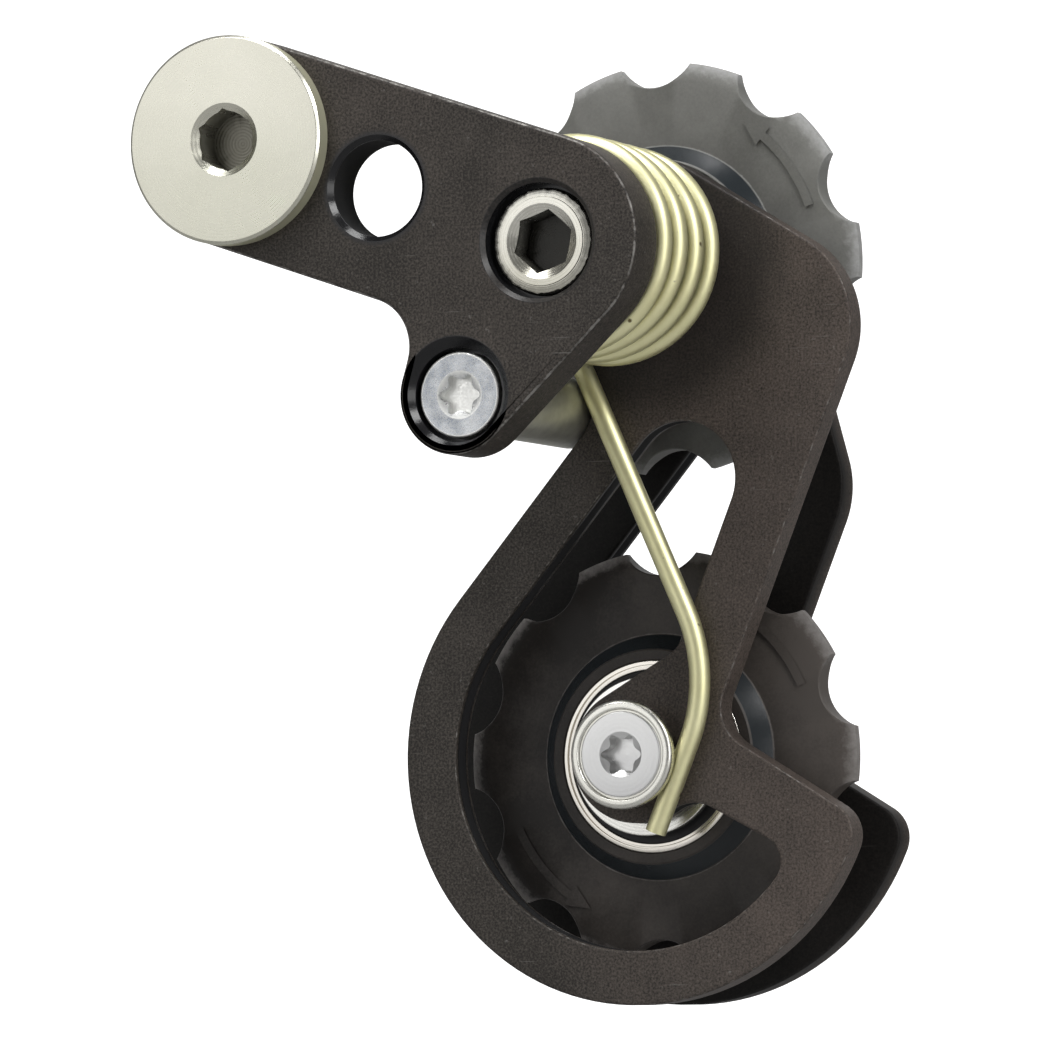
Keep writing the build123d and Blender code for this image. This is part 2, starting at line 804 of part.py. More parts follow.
# Pulleys with their ball bearings
seat_circle_r = chain_pitch / (2 * sin(radians(180 / tooth_count)))
tooth_tip_r = seat_circle_r - tooth_drop
front = pulley_mid - bearing_width / 2
back = pulley_mid + bearing_width / 2
tooth_front = pulley_mid - tooth_thickness / 2
tooth_back = pulley_mid + tooth_thickness / 2
for wheel, (at, phase, shaft_r, bearing_r, inner_land, outer_land, ball_r) in wheels.items():
    bore_r = shaft_r + fit_clearance
    inner_r = bore_r + inner_land
    outer_r = bearing_r - outer_land
    ball_circle_r = (inner_r + outer_r) / 2
    seal_r = outer_r + seal_ledge
    seal_floor = seal_inset + seal_thickness

    with BuildPart() as pulley:
        with BuildSketch(facing(tooth_back)) as teeth:
            with Locations((at.X, at.Y)):
                Circle(tooth_tip_r)
                with PolarLocations(seat_circle_r, tooth_count, start_angle=phase + 180 / tooth_count):
                    Circle(roller_seat_r, mode=Mode.SUBTRACT)
            fillet(teeth.vertices(), tooth_corner)
        extrude(amount=tooth_thickness)
        for tooth_face, bevel_way in ((tooth_front, 1), (tooth_back, -1)):
            revolve(
                section(
                    at,
                    (tooth_face, tooth_tip_r),
                    (tooth_face, tooth_tip_r - tooth_bevel_run),
                    (tooth_face + bevel_way * tooth_bevel, tooth_tip_r),
                ),
                axis=along(at),
                mode=Mode.SUBTRACT,
            )
        revolve(
            section(
                at,
                (front, bearing_r),
                (front, hub_r - hub_edge),
                (front + hub_edge, hub_r),
                (tooth_front, hub_base_r),
                (tooth_back, hub_base_r),
                (back - hub_edge, hub_r),
                (back, hub_r - hub_edge),
                (back, bearing_r),
            ),
            axis=along(at),
        )
        extrude(disc(at, back, bearing_r + fit_clearance), amount=bearing_width, mode=Mode.SUBTRACT)
    pulley.part.label = f"{wheel}_pulley"
    export_step(pulley.part, f"parts/{wheel}_pulley.step")

    with BuildPart() as inner_race:
        revolve(
            section(
                at,
                (front, bore_r),
                (front, inner_r - race_edge),
                (front + race_edge, inner_r),
                (back - race_edge, inner_r),
                (back, inner_r - race_edge),
                (back, bore_r),
            ),
            axis=along(at),
        )
        revolve(
            groove_section(at, pulley_mid, ball_circle_r, ball_r + ball_clearance),
            axis=along(at),
            mode=Mode.SUBTRACT,
        )
    inner_race.part.label = f"{wheel}_inner_race"
    export_step(inner_race.part, f"parts/{wheel}_inner_race.step")

    with BuildPart() as outer_race:
        revolve(
            section(
                at,
                (front, bearing_r - race_edge),
                (front, seal_r),
                (front + seal_floor, seal_r),
                (front + seal_floor, outer_r),
                (back - seal_floor, outer_r),
                (back - seal_floor, seal_r),
                (back, seal_r),
                (back, bearing_r - race_edge),
                (back - race_edge, bearing_r),
                (front + race_edge, bearing_r),
            ),
            axis=along(at),
        )
        revolve(
            groove_section(at, pulley_mid, ball_circle_r, ball_r + ball_clearance),
            axis=along(at),
            mode=Mode.SUBTRACT,
        )
    outer_race.part.label = f"{wheel}_outer_race"
    export_step(outer_race.part, f"parts/{wheel}_outer_race.step")

    with BuildPart() as seals:
        for seal_back in (front + seal_floor, back - seal_inset):
            revolve(
                section(
                    at,
                    (seal_back - seal_thickness, inner_r + seal_gap),
                    (seal_back - seal_thickness, seal_r - fit_clearance),
                    (seal_back, seal_r - fit_clearance),
                    (seal_back, inner_r + seal_gap),
                ),
                axis=along(at),
            )
    seals.part.label = f"{wheel}_seals"
    export_step(seals.part, f"parts/{wheel}_seals.step")

    ball_plane = Plane((at.X, pulley_mid, at.Y), x_dir=(1, 0, 0), z_dir=(0, -1, 0))
    with BuildPart(ball_plane) as balls:
        with PolarLocations(ball_circle_r, ball_count):
            Sphere(ball_r)
    balls.part.label = f"{wheel}_balls"
    export_step(balls.part, f"parts/{wheel}_balls.step")

    retainer_half = ball_r + ball_clearance + retainer_side
    with BuildPart(ball_plane) as retainer:
        revolve(
            section(
                at,
                (pulley_mid - retainer_half, ball_circle_r - retainer_thickness / 2),
                (pulley_mid - retainer_half, ball_circle_r + retainer_thickness / 2),
                (pulley_mid + retainer_half, ball_circle_r + retainer_thickness / 2),
                (pulley_mid + retainer_half, ball_circle_r - retainer_thickness / 2),
            ),
            axis=along(at),
        )
        with PolarLocations(ball_circle_r, ball_count):
            Cylinder(ball_r + ball_clearance, ball_r, rotation=(0, 90, 0), mode=Mode.SUBTRACT)
    retainer.part.label = f"{wheel}_retainer"
    export_step(retainer.part, f"parts/{wheel}_retainer.step")

# Torsion spring: tang in the arm, open coils, long leg that hooks behind the collar
coil_plane = Plane(
    (coil_at.X, coil_level, coil_at.Y),
    x_dir=(cos(radians(coil_start)), 0, sin(radians(coil_start))),
    z_dir=(0, 1, 0),
)
leg_level = plate_front - leg_gap - wire_r
leg_way_down = unit(leg_lean)
leg_touch = lower_at + left_of(leg_way_down) * (collar_neck_r + fit_clearance + wire_r)
leg_knee_at = leg_touch - leg_way_down * leg_knee
leg_end_at = leg_touch + leg_way_down * leg_tail
leg_start_at = pivot_at + Vector(leg_start_x, leg_start_z)
coils = coil_plane * Helix(coil_pitch, coil_pitch * coil_turn / 360, coil_r, lefthand=True)
coil_first = coils @ 0
coil_last = coils @ 1
tang_knee = coil_first - (coils % 0) * tang_run
tang_end = Vector(tang_knee.X, -tang_depth, tang_knee.Z)
tang = bent_wire([tang_end, tang_knee, coil_first], [tang_bend])
leg = bent_wire(
    [
        coil_last,
        coil_last + (coils % 1) * leg_lead,
        Vector(leg_start_at.X, leg_level, leg_start_at.Y),
        Vector(leg_knee_at.X, leg_level, leg_knee_at.Y),
        Vector(leg_end_at.X, leg_level, leg_end_at.Y),
    ],
    [leg_lead_bend, leg_start_bend, leg_knee_bend],
)
wire_path = Wire([*tang, *coils.edges(), *leg])
with BuildPart() as torsion_spring:
    with BuildSketch(Plane(tang_end, z_dir=(0, 1, 0))):
        Circle(wire_r)
    sweep(path=wire_path)
torsion_spring.part.label = "torsion_spring"
export_step(torsion_spring.part, "parts/torsion_spring.step")
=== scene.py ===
from math import atan2, ceil, cos, degrees, pi, radians, sin, sqrt, tan

import bmesh
import bpy
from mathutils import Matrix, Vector
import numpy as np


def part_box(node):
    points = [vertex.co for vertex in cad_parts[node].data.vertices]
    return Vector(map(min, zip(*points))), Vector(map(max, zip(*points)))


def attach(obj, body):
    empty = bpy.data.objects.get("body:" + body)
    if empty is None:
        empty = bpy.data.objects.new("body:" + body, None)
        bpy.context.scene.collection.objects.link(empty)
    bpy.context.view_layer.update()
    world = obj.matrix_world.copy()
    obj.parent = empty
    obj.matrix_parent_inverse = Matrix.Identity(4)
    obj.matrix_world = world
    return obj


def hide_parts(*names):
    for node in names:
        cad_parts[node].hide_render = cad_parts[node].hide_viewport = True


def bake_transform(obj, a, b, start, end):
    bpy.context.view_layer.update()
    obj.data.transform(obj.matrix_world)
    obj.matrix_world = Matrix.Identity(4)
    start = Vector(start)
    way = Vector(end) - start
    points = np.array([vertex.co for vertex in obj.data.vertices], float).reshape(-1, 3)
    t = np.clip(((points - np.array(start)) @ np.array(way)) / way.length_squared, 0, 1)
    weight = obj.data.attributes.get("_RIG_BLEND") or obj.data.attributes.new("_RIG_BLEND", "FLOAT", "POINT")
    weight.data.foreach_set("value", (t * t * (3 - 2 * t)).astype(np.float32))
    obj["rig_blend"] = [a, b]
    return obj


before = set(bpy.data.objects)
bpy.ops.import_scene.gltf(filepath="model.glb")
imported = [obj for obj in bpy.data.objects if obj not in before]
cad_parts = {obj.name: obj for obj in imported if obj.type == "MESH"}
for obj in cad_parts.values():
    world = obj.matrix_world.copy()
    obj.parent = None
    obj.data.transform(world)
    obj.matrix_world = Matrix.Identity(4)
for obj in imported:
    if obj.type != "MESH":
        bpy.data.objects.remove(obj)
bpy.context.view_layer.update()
scene = bpy.context.scene
mm = 0.001
arcStep = 3.0  # degrees between the points of a round stretch
mergeGap = 1e-8  # metres
plateSharp, turnedSharp = 35, 22  # degrees from which an edge stays sharp


def axisOf(node):  # middle of a round node across its axis, x and z in mm
    low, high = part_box(node)
    return Vector((low.x + high.x, low.z + high.z)) / (2 * mm)


def depthsOf(node):  # front and back of a node along Y, in mm
    low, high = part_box(node)
    return low.y / mm, high.y / mm


bolt = axisOf("hanger_bolt")
pivot = axisOf("pivot_axle")
stop = axisOf("stop_screw")
lower = axisOf("lower_axle_screw")
armFront, armBack = depthsOf("hanger_arm")
outerFront, outerBack = depthsOf("outer_plate")
innerFront, innerBack = depthsOf("inner_plate")


# flat outlines, in mm, as points (x, z)
def unit(angle):
    return Vector((cos(radians(angle)), sin(radians(angle))))


def leftOf(way):
    return Vector((-way.y, way.x))


def angleOf(at, point):
    return degrees(atan2(point.y - at.y, point.x - at.x))


def towards(at, point, reach):
    return at + (point - at).normalized() * reach


def tangentPoints(atA, rA, atB, rB):  # common tangent; positive radii touch it on the left
    way = (atB - atA).normalized()
    lean = (rA - rB) / (atB - atA).length
    normal = way * lean + leftOf(way) * sqrt(1 - lean**2)
    return atA + normal * rA, atB + normal * rB


def crossing(pointA, wayA, pointB, wayB):
    gap = pointB - pointA
    reach = (gap.x * wayB.y - gap.y * wayB.x) / (wayA.x * wayB.y - wayA.y * wayB.x)
    return pointA + wayA * reach


def onCircle(at, r, point, way, side):  # where a line leaves (1) or enters (-1) a circle
    middle = (at - point).dot(way)
    off = (at - point - way * middle).length
    return point + way * (middle + side * sqrt(r**2 - off**2))


def arc(at, r, start, end, turn=1):  # turn 1 runs counter-clockwise, -1 clockwise
    first = angleOf(at, start)
    sweep = (turn * (angleOf(at, end) - first)) % 360
    steps = max(3, ceil(sweep / arcStep))
    return [at + unit(first + turn * sweep * i / steps) * r for i in range(steps + 1)]


def knee(before, corner, after, r):  # tangent arc in place of a corner, flat or in space
    wayIn = (corner - before).normalized()
    wayOut = (after - corner).normalized()
    turn = wayIn.angle(wayOut)
    start = corner - wayIn * r * tan(turn / 2)
    end = corner + wayOut * r * tan(turn / 2)
    centre = corner + (wayOut - wayIn).normalized() * r / cos(turn / 2)
    steps = max(3, ceil(degrees(turn) / arcStep))
    parts = [i / steps * turn for i in range(steps + 1)]
    u, v = start - centre, end - centre
    return [centre + (u * sin(turn - t) + v * sin(t)) / sin(turn) for t in parts]


def circle(at, r):
    return [at + unit(-i * arcStep) * r for i in range(int(360 / arcStep))]  # clockwise, for holes


# mesh helpers; every mesh carries its wear, which the finishes read
glossy, halfGlossy, shadedWall = -1.0, -0.6, -2.0  # wear of cut places, the last a dark matt wall with painted shade
edgeRub = {"beside": 0.3, "corner": 0.55, "crest": 0.45}


def newMesh():
    mesh = bmesh.new()
    mesh.verts.layers.float.new("wear")
    return mesh


def dot(mesh, point, y, wear=0.0):  # a vertex, from a flat point and its depth
    made = mesh.verts.new((point.x * mm, y * mm, point.y * mm))
    made[mesh.verts.layers.float["wear"]] = wear
    return made


def bridge(mesh, ringA, ringB):
    count = len(ringA)
    for i in range(count):
        j = (i + 1) % count
        corners = [ringA[i], ringA[j], ringB[j], ringB[i]]
        corners = [v for k, v in enumerate(corners) if v not in corners[:k]]
        if len(corners) > 2:
            mesh.faces.new(corners)


def linked(name, data):
    made = bpy.data.objects.new(name, data)
    scene.collection.objects.link(made)
    return made


def dataOf(name, mesh):
    data = bpy.data.meshes.new(name)
    mesh.to_mesh(data)
    mesh.free()
    return data


def finished(name, mesh, material, sharp=plateSharp):  # plain object at the origin, smooth but for corners
    bmesh.ops.remove_doubles(mesh, verts=mesh.verts, dist=mergeGap)
    bmesh.ops.recalc_face_normals(mesh, faces=mesh.faces)
    for face in mesh.faces:
        face.smooth = True
    for edge in mesh.edges:
        edge.smooth = edge.is_manifold and edge.calc_face_angle() < radians(sharp)
    data = dataOf(name, mesh)
    data.materials.append(material)
    return linked(name, data)


def spread(points, grow):  # the loop moved into the material, which lies on its left
    moved = []
    for i, point in enumerate(points):
        wayIn = (point - points[i - 1]).normalized()
        wayOut = (points[(i + 1) % len(points)] - point).normalized()
        side = (leftOf(wayIn) + leftOf(wayOut)).normalized()
        moved.append(point + side * grow / side.dot(leftOf(wayIn)))
    return moved


def softEdge(y, way, edge, fade, steps=3):  # rows (grow, depth, wear) from a flat face round into a wall
    beside, corner, crest = edgeRub.values()
    rows = [(edge + fade, y, 0.0), (edge + fade / 3, y, beside)]
    for i in range(steps + 1):
        lean = pi / 2 * i / steps
        depth = y + way * edge * (1 - cos(lean))
        rows.append((edge * (1 - sin(lean)), depth, corner + crest * sin(2 * lean)))
    rows += [(0, y + way * (edge + fade / 3), beside), (0, y + way * (edge + fade), 0.0)]
    return rows if way > 0 else rows[::-1]


def platePiece(name, loops, material):  # loops of points, each with its rows from the front to the back
    mesh = newMesh()
    caps = {}
    for points, rows in loops:
        rings = []
        for grow, y, wear in rows:
            rings.append([dot(mesh, point, y, wear) for point in spread(points, grow)])
        for ringA, ringB in zip(rings, rings[1:]):
            bridge(mesh, ringA, ringB)
        for y, end in ((rows[0][1], rings[0]), (rows[-1][1], rings[-1])):
            caps.setdefault(round(y, 3), []).append(end)
    for ends in caps.values():
        edges = []
        for end in ends:
            edges += [mesh.edges.get((end[i - 1], end[i])) for i in range(len(end))]
        bmesh.ops.triangle_fill(mesh, use_beauty=True, edges=edges, normal=(0, -1, 0))
    return finished(name, mesh, material)


def valueAt(value, angle):  # of a number or a rule
    return value(angle) if callable(value) else value


def turnedPiece(name, axis, rows, material, steps=120, start=0.0, closed=False):
    mesh = newMesh()  # rows of depth, radius and maybe wear; the first two can be rules of the angle
    angles = [start + 360 * i / steps for i in range(steps)]
    rings = []
    for y, r, *wear in rows:
        if r == 0:
            rings.append([dot(mesh, axis, y, *wear)] * steps)
        else:
            spots = [(axis + unit(a) * valueAt(r, a), valueAt(y, a)) for a in angles]
            rings.append([dot(mesh, point, depth, *wear) for point, depth in spots])
    for ringA, ringB in zip(rings, rings[1:] + rings[:1] if closed else rings[1:]):
        bridge(mesh, ringA, ringB)
    return finished(name, mesh, material, turnedSharp)


def softened(*corners):  # profile corners (depth, radius, rounding) to rows
    rows = []
    for i, corner in enumerate(corners):
        if len(corner) < 3:
            rows.append(corner)
            continue
        trio = [Vector(corners[k][:2]) for k in (i - 1, i, (i + 1) % len(corners))]
        rows += [tuple(point) for point in knee(*trio, corner[2])[::3]]  # every third point will do
    return rows


def hexRule(flats, turn):  # radius of a hexagon, one corner at the angle turn
    return lambda angle: flats / 2 / cos(radians((angle - turn) % 60 - 30))


def lobeRule(inner, outer, pinch=1.4):  # radius of a six-lobe socket
    return lambda angle: inner + (outer - inner) * ((1 + cos(radians(6 * angle))) / 2) ** pinch


def threadRows(y0, y1, r, pitch, depth, runOut=6, perPitch=8):
    rows = []
    steps = ceil((y1 - y0) / pitch * perPitch)
    for i in range(steps + 1):
        y = y0 + (y1 - y0) * i / steps
        bite = depth * min(1, i / runOut, (steps - i) / runOut)
        rule = lambda angle, y=y, bite=bite: r - bite * abs(2 * ((y / pitch - angle / 360) % 1) - 1)
        rows.append((y, rule))
    return rows


# node trees: one class for a socket in a sum, one for the tree it is in
class Wire:
    def __init__(self, sheet, socket):
        self.sheet = sheet
        self.socket = socket

    def sum(self, operation, first, second):
        return self.sheet.node("ShaderNodeMath", {"operation": operation}, {0: first, 1: second})

    def __add__(self, other):
        return self.sum("ADD", self, other)

    def __sub__(self, other):
        return self.sum("SUBTRACT", self, other)

    def __rsub__(self, other):
        return self.sum("SUBTRACT", other, self)

    def __mul__(self, other):
        return self.sum("MULTIPLY", self, other)

    __radd__ = __add__
    __rmul__ = __mul__

    def clip(self):
        return self.sheet.node("ShaderNodeClamp", {}, {0: self})

    def output(self, name):
        return Wire(self.sheet, self.socket.node.outputs[name])


class Sheet:
    def __init__(self, tree):
        self.tree = tree
        self.tree.nodes.clear()

    def node(self, kind, settings=None, sockets=None, out=0):
        made = self.tree.nodes.new(kind)
        for name, value in (settings or {}).items():
            setattr(made, name, value)
        for name, value in (sockets or {}).items():
            if isinstance(value, Wire):
                self.tree.links.new(value.socket, made.inputs[name])
            else:
                made.inputs[name].default_value = value
        return Wire(self, made.outputs[out]) if made.outputs else made

    def noise(self, where, scale, detail=2.0, rough=0.5):
        sockets = {"Vector": where, "Scale": scale, "Detail": detail, "Roughness": rough}
        return self.node("ShaderNodeTexNoise", {}, sockets)

    def blend(self, share, colourA, colourB):
        sockets = {0: share, 6: colourA, 7: colourB}
        return self.node("ShaderNodeMix", {"data_type": "RGBA"}, sockets, out=2)

    def stretched(self, where, scale, place=(0, 0, 0), turn=(0, 0, 0)):
        sockets = {"Vector": where, "Location": place, "Rotation": turn, "Scale": scale}
        return self.node("ShaderNodeMapping", {}, sockets)

    def acrossAxis(self, where, axis):  # as seen along a piece's axis, which is then the middle
        return self.stretched(where, (1, 0, 1), (-axis.x * mm, 0, -axis.y * mm))

    def part(self, where, name):
        return self.node("ShaderNodeSeparateXYZ", {}, {0: where}, out=name)

    def length(self, vector):
        return self.node("ShaderNodeVectorMath", {"operation": "LENGTH"}, {0: vector}, out="Value")

    def ramp(self, value, low, high, floor=0.0, shape="SMOOTHSTEP"):
        sockets = {"Value": value, "From Min": low, "From Max": high, "To Min": floor}
        return self.node("ShaderNodeMapRange", {"interpolation_type": shape}, sockets)

    def bump(self, height, strength, distance):
        sockets = {"Height": height, "Strength": strength, "Distance": distance}
        return self.node("ShaderNodeBump", {}, sockets)

    def wear(self):  # above nothing rubbed edges, below it glossy places, and painted shade in sockets and on hole and window walls
        return self.node("ShaderNodeAttribute", {"attribute_name": "wear"}, out="Fac")


def rgb(red, green, blue):
    return (red, green, blue, 1.0)


def material(name, build, **fixed):  # build fills the sheet and returns the surface's varying sockets
    made = bpy.data.materials.new(name)
    made.use_nodes = True
    sheet = Sheet(made.node_tree)
    where = sheet.node("ShaderNodeTexCoord", out="Object")
    sockets = {**fixed, **build(sheet, where)}
    surface = sheet.node("ShaderNodeBsdfPrincipled", {}, sockets)
    sheet.node("ShaderNodeOutputMaterial", {}, {"Surface": surface})
    return made


anodised = {
    "dark": rgb(0.0135, 0.0112, 0.0090),
    "pale": rgb(0.088, 0.076, 0.065),
    "warm": rgb(0.110, 0.087, 0.074),
    "bare": rgb(0.24, 0.23, 0.215),
    "gloss": rgb(0.009, 0.009, 0.010),
    # painted shade colour for the plates: the inner plate's pulley side and round the spring
    "paintedShade": rgb(0.004, 0.004, 0.004),
    "chipAt": 1.25,
    "plateChipAt": 1.34,
    "innerChipAt": 1.60,
    "grain": 4600,
    "patch": 240,
    "area": 30,
    "hairs": (2600, 2600, 120),
    "chips": 1300,
    "flecks": 1900,
    "fleckAt": 0.70,
    "scratches": (160, 900, 4200),
    "scratchTurn": (0, 0.7, 0),
    "scratchAt": 0.745,
    # the outer plate turns lighter and warmer towards +X from here
    "fadeFrom": 0.025,
    "fade": 48,
    # the next two entries paint a shadow round the spring coil on the outer plate
    "pivotShadeR": (0.0112, 0.0162),
    "pivotShade": 0.35,
    # the next two entries paint shade on the inner plate's side that faces the pulleys
    "pulleySideShade": 0.12,
    "pulleySideShadeDepth": 0.5,
    "rough": 0.52,
    "bump": (0.20, 0.00004),
}


def blackAnodised(sheet, where, unshaded=None, fade=0, chipAt=anodised["chipAt"]):
    grain = sheet.noise(where, anodised["grain"], 3.0, 0.65)
    patch = sheet.noise(where, anodised["patch"], 4.0, 0.6)
    hairs = sheet.noise(sheet.stretched(where, anodised["hairs"]), 1.0, 2.0)
    area = (0.58 - sheet.noise(where, anodised["area"], 1.0)) * 4.0
    # lighter and warmer towards +X
    if fade:
        area = area + (sheet.part(where, "X") - anodised["fadeFrom"]) * fade
    area = area.clip()
    rub = sheet.wear()
    gloss = (rub * -1.0).clip()
    # painted shade on walls: the dark gloss colour, made matt
    shadedWallShare = (rub * -1.0 - 1.0).clip()
    chips = sheet.noise(where, anodised["chips"], 3.0, 0.6)
    bare = ((rub + chips * 0.8 - chipAt) * 5.0).clip()
    fleck = ((sheet.noise(where, anodised["flecks"], 2.0, 0.5) - anodised["fleckAt"]) * 9.0).clip()
    turned = sheet.stretched(where, anodised["scratches"], turn=anodised["scratchTurn"])
    scratch = ((sheet.noise(turned, 1.0, 1.0) - anodised["scratchAt"]) * 14.0).clip()
    fleck = (fleck + scratch).clip() * 0.4
    tone = (grain * 2.6 + patch * 0.5 + hairs * 0.2 + area * 0.30 - 1.38).clip()
    colour = sheet.blend(tone, anodised["dark"], sheet.blend(area, anodised["pale"], anodised["warm"]))
    # painted shade: the colour darkens towards the shade colour where the given share is low
    if unshaded:
        colour = sheet.blend(unshaded, anodised["paintedShade"], colour)
        fleck = fleck * unshaded
    colour = sheet.blend((bare * 0.9 + fleck).clip(), colour, anodised["bare"])
    return {
        "Base Color": sheet.blend(gloss, colour, anodised["gloss"]),
        "Metallic": bare * 0.5,
        "Roughness": anodised["rough"] + grain * 0.12 - bare * 0.15 - gloss * 0.40 + shadedWallShare * 0.76,
        "Normal": sheet.bump(grain + hairs * 0.2, *anodised["bump"]),
    }


def innerAnodised(sheet, where):  # black, with painted shade on the side that faces the pulleys
    front = innerFront + anodised["pulleySideShadeDepth"]
    depth = sheet.part(where, "Y")
    # painted shade, deepest at the face towards the pulleys
    unshaded = sheet.ramp(depth, front * mm, innerBack * mm, anodised["pulleySideShade"], "LINEAR")
    return blackAnodised(sheet, where, unshaded, chipAt=anodised["innerChipAt"])


def plateAnodised(sheet, where):  # lighter and warmer towards the cage's front edge, with a painted shadow round the spring
    # painted shadow round the spring, darkest near the pivot
    radius = sheet.length(sheet.acrossAxis(where, pivot))
    unshaded = sheet.ramp(radius, *anodised["pivotShadeR"], anodised["pivotShade"])
    return blackAnodised(sheet, where, unshaded, anodised["fade"], anodised["plateChipAt"])


plating = {
    "rings": 0.28,
    "groove": 0.10,
    "speck": 1400,
    "cloud": 190,
    "wobble": 700,
    "sheenAt": 1.6,
    "raw": rgb(0.52, 0.51, 0.36),
    # painted shade colour for socket floors and walls
    "paintedShade": rgb(0.042, 0.036, 0.022),
    "floor": 0.0,
    "bump": (0.10, 0.000012),
}


def plated(name, pale, dark, rough, axis, **changes):  # turned metal, its tool marks round the axis
    look = {**plating, **changes}

    def build(sheet, where):
        flat = sheet.acrossAxis(where, axis)
        wobble = sheet.noise(where, look["wobble"]) * 2.0
        phase = sheet.length(flat) * (2 * pi / (look["rings"] * mm)) + wobble
        lines = sheet.node("ShaderNodeMath", {"operation": "SINE"}, {0: phase})
        fine = sheet.noise(where, look["speck"], 3.0, 0.6)
        cloud = sheet.noise(where, look["cloud"])
        parts = sheet.part(flat, "X")
        around = parts.sum("ARCTAN2", parts.output("Z"), parts)
        sheen = sheet.node("ShaderNodeMath", {"operation": "COSINE"}, {0: around - look["sheenAt"]})
        tone = (cloud * 0.45 + fine * 0.5 + lines * look["groove"] + sheen * 0.30 + 0.02).clip()
        rub = sheet.wear()
        # painted shade in sockets: floor and lower wall take the shade colour, with turning rings on the
        # floor where asked
        socketShade = (rub * -1.0).clip()
        raw = rub.clip()
        colour = sheet.blend(raw, sheet.blend(tone, dark, pale), look["raw"])
        paintedShade = look["paintedShade"]
        if look["floor"]:
            paintedShade = sheet.blend((lines * look["floor"] + look["floor"] * 0.5).clip(), paintedShade, dark)
        return {
            "Base Color": sheet.blend(socketShade, colour, paintedShade),
            "Metallic": 1.0 - raw * 0.6 - socketShade * 0.5,
            "Roughness": rough + fine * 0.10 + lines * 0.02 + raw * 0.2,
            "Normal": sheet.bump(lines * 0.5 + fine, *look["bump"]),
        }

    return material(name, build)


yellowZinc = {
    "dark": rgb(0.74, 0.705, 0.385),
    "pale": rgb(0.93, 0.905, 0.60),
    "pit": rgb(0.16, 0.13, 0.06),
    "fine": 1500,
    "cloud": 240,
    "pits": 1100,
    "pitAt": 0.74,
    "rough": 0.40,
    "bump": (0.12, 0.00002),
}


def springWire(sheet, where):
    fine = sheet.noise(where, yellowZinc["fine"], 4.0, 0.7)
    cloud = sheet.noise(where, yellowZinc["cloud"])
    pits = ((sheet.noise(where, yellowZinc["pits"], 1.0) - yellowZinc["pitAt"]) * 12.0).clip()
    tone = (cloud * 0.8 + fine * 0.5 - 0.15).clip()
    colour = sheet.blend(tone, yellowZinc["dark"], yellowZinc["pale"])
    return {
        "Base Color": sheet.blend(pits, colour, yellowZinc["pit"]),
        "Roughness": yellowZinc["rough"] + fine * 0.16,
        "Normal": sheet.bump(fine, *yellowZinc["bump"]),
    }


plastic = {
    "gloss": rgb(0.016, 0.020, 0.023),
    "grain": 4200,
    "cloud": 60,
    "fray": 1300,
    "rough": 0.45,
    "bump": (0.22, 0.00005),
}


def pulleyPlastic(dark, pale, scuffed, axis, paintedSideLight=0):  # painted light: lighter on the +X side of the axis when asked
    def build(sheet, where):
        grain = sheet.noise(where, plastic["grain"], 3.0, 0.6)
        cloud = sheet.noise(where, plastic["cloud"], 4.0, 0.65)
        fray = sheet.noise(where, plastic["fray"], 4.0, 0.7)
        rub = sheet.wear()
        scuff = (rub * 1.1 + fray * 1.2 - 1.0).clip()
        gloss = (rub * -1.0).clip()
        tone = 1.15 - cloud * 2.0 + grain * 0.6
        # painted light, lighter on the +X side of the axis
        if paintedSideLight:
            tone = tone + (sheet.part(where, "X") - axis.x * mm) * paintedSideLight
        colour = sheet.blend(scuff, sheet.blend(tone.clip(), dark, pale), scuffed)
        return {
            "Base Color": sheet.blend(gloss, colour, plastic["gloss"]),
            "Roughness": plastic["rough"] + grain * 0.12 + scuff * 0.15 - gloss * 0.27,
            "Normal": sheet.bump(grain * 0.6 + scuff * fray * 2.0, *plastic["bump"]),
        }

    return build


zinc = {
    "dark": rgb(0.25, 0.27, 0.30),
    "pale": rgb(0.64, 0.65, 0.66),
    "bright": rgb(0.93, 0.93, 0.90),
    "cells": 8000,
    "cloud": 500,
    "rough": 0.18,
    "bump": (0.25, 0.00002),
}


def speckledZinc(sheet, where):
    cells = sheet.node("ShaderNodeTexVoronoi", {}, {"Vector": where, "Scale": zinc["cells"]}, out="Color")
    spark = sheet.node("ShaderNodeSeparateColor", {}, {0: cells})
    cloud = sheet.noise(where, zinc["cloud"])
    colour = sheet.blend((spark * 0.6 + cloud * 1.7 - 0.65).clip(), zinc["dark"], zinc["pale"])
    bright = sheet.wear().clip()
    return {
        "Base Color": sheet.blend(bright, colour, zinc["bright"]),
        "Roughness": zinc["rough"] + spark * 0.24 + bright * 0.15,
        "Normal": sheet.bump(spark, *zinc["bump"]),
    }


mottle = {"scale": 900, "bump": (0.12, 0.00003)}


def plain(pale, dark, rough):  # hidden or small pieces: fine mottling only
    def build(sheet, where):
        fine = sheet.noise(where, mottle["scale"], 3.0, 0.6)
        return {
            "Base Color": sheet.blend(fine, dark, pale),
            "Roughness": rough + fine * 0.12,
            "Normal": sheet.bump(fine, *mottle["bump"]),
        }

    return build


dull, dullest = {"Specular IOR Level": 0.32}, {"Specular IOR Level": 0.18}
metal = {"Metallic": 1.0}
black = material("blackAnodisedAluminium", blackAnodised, **dull)
plateBlack = material("plateBlack", plateAnodised, **dull)
innerBlack = material("innerPlateBlack", innerAnodised, **dullest)

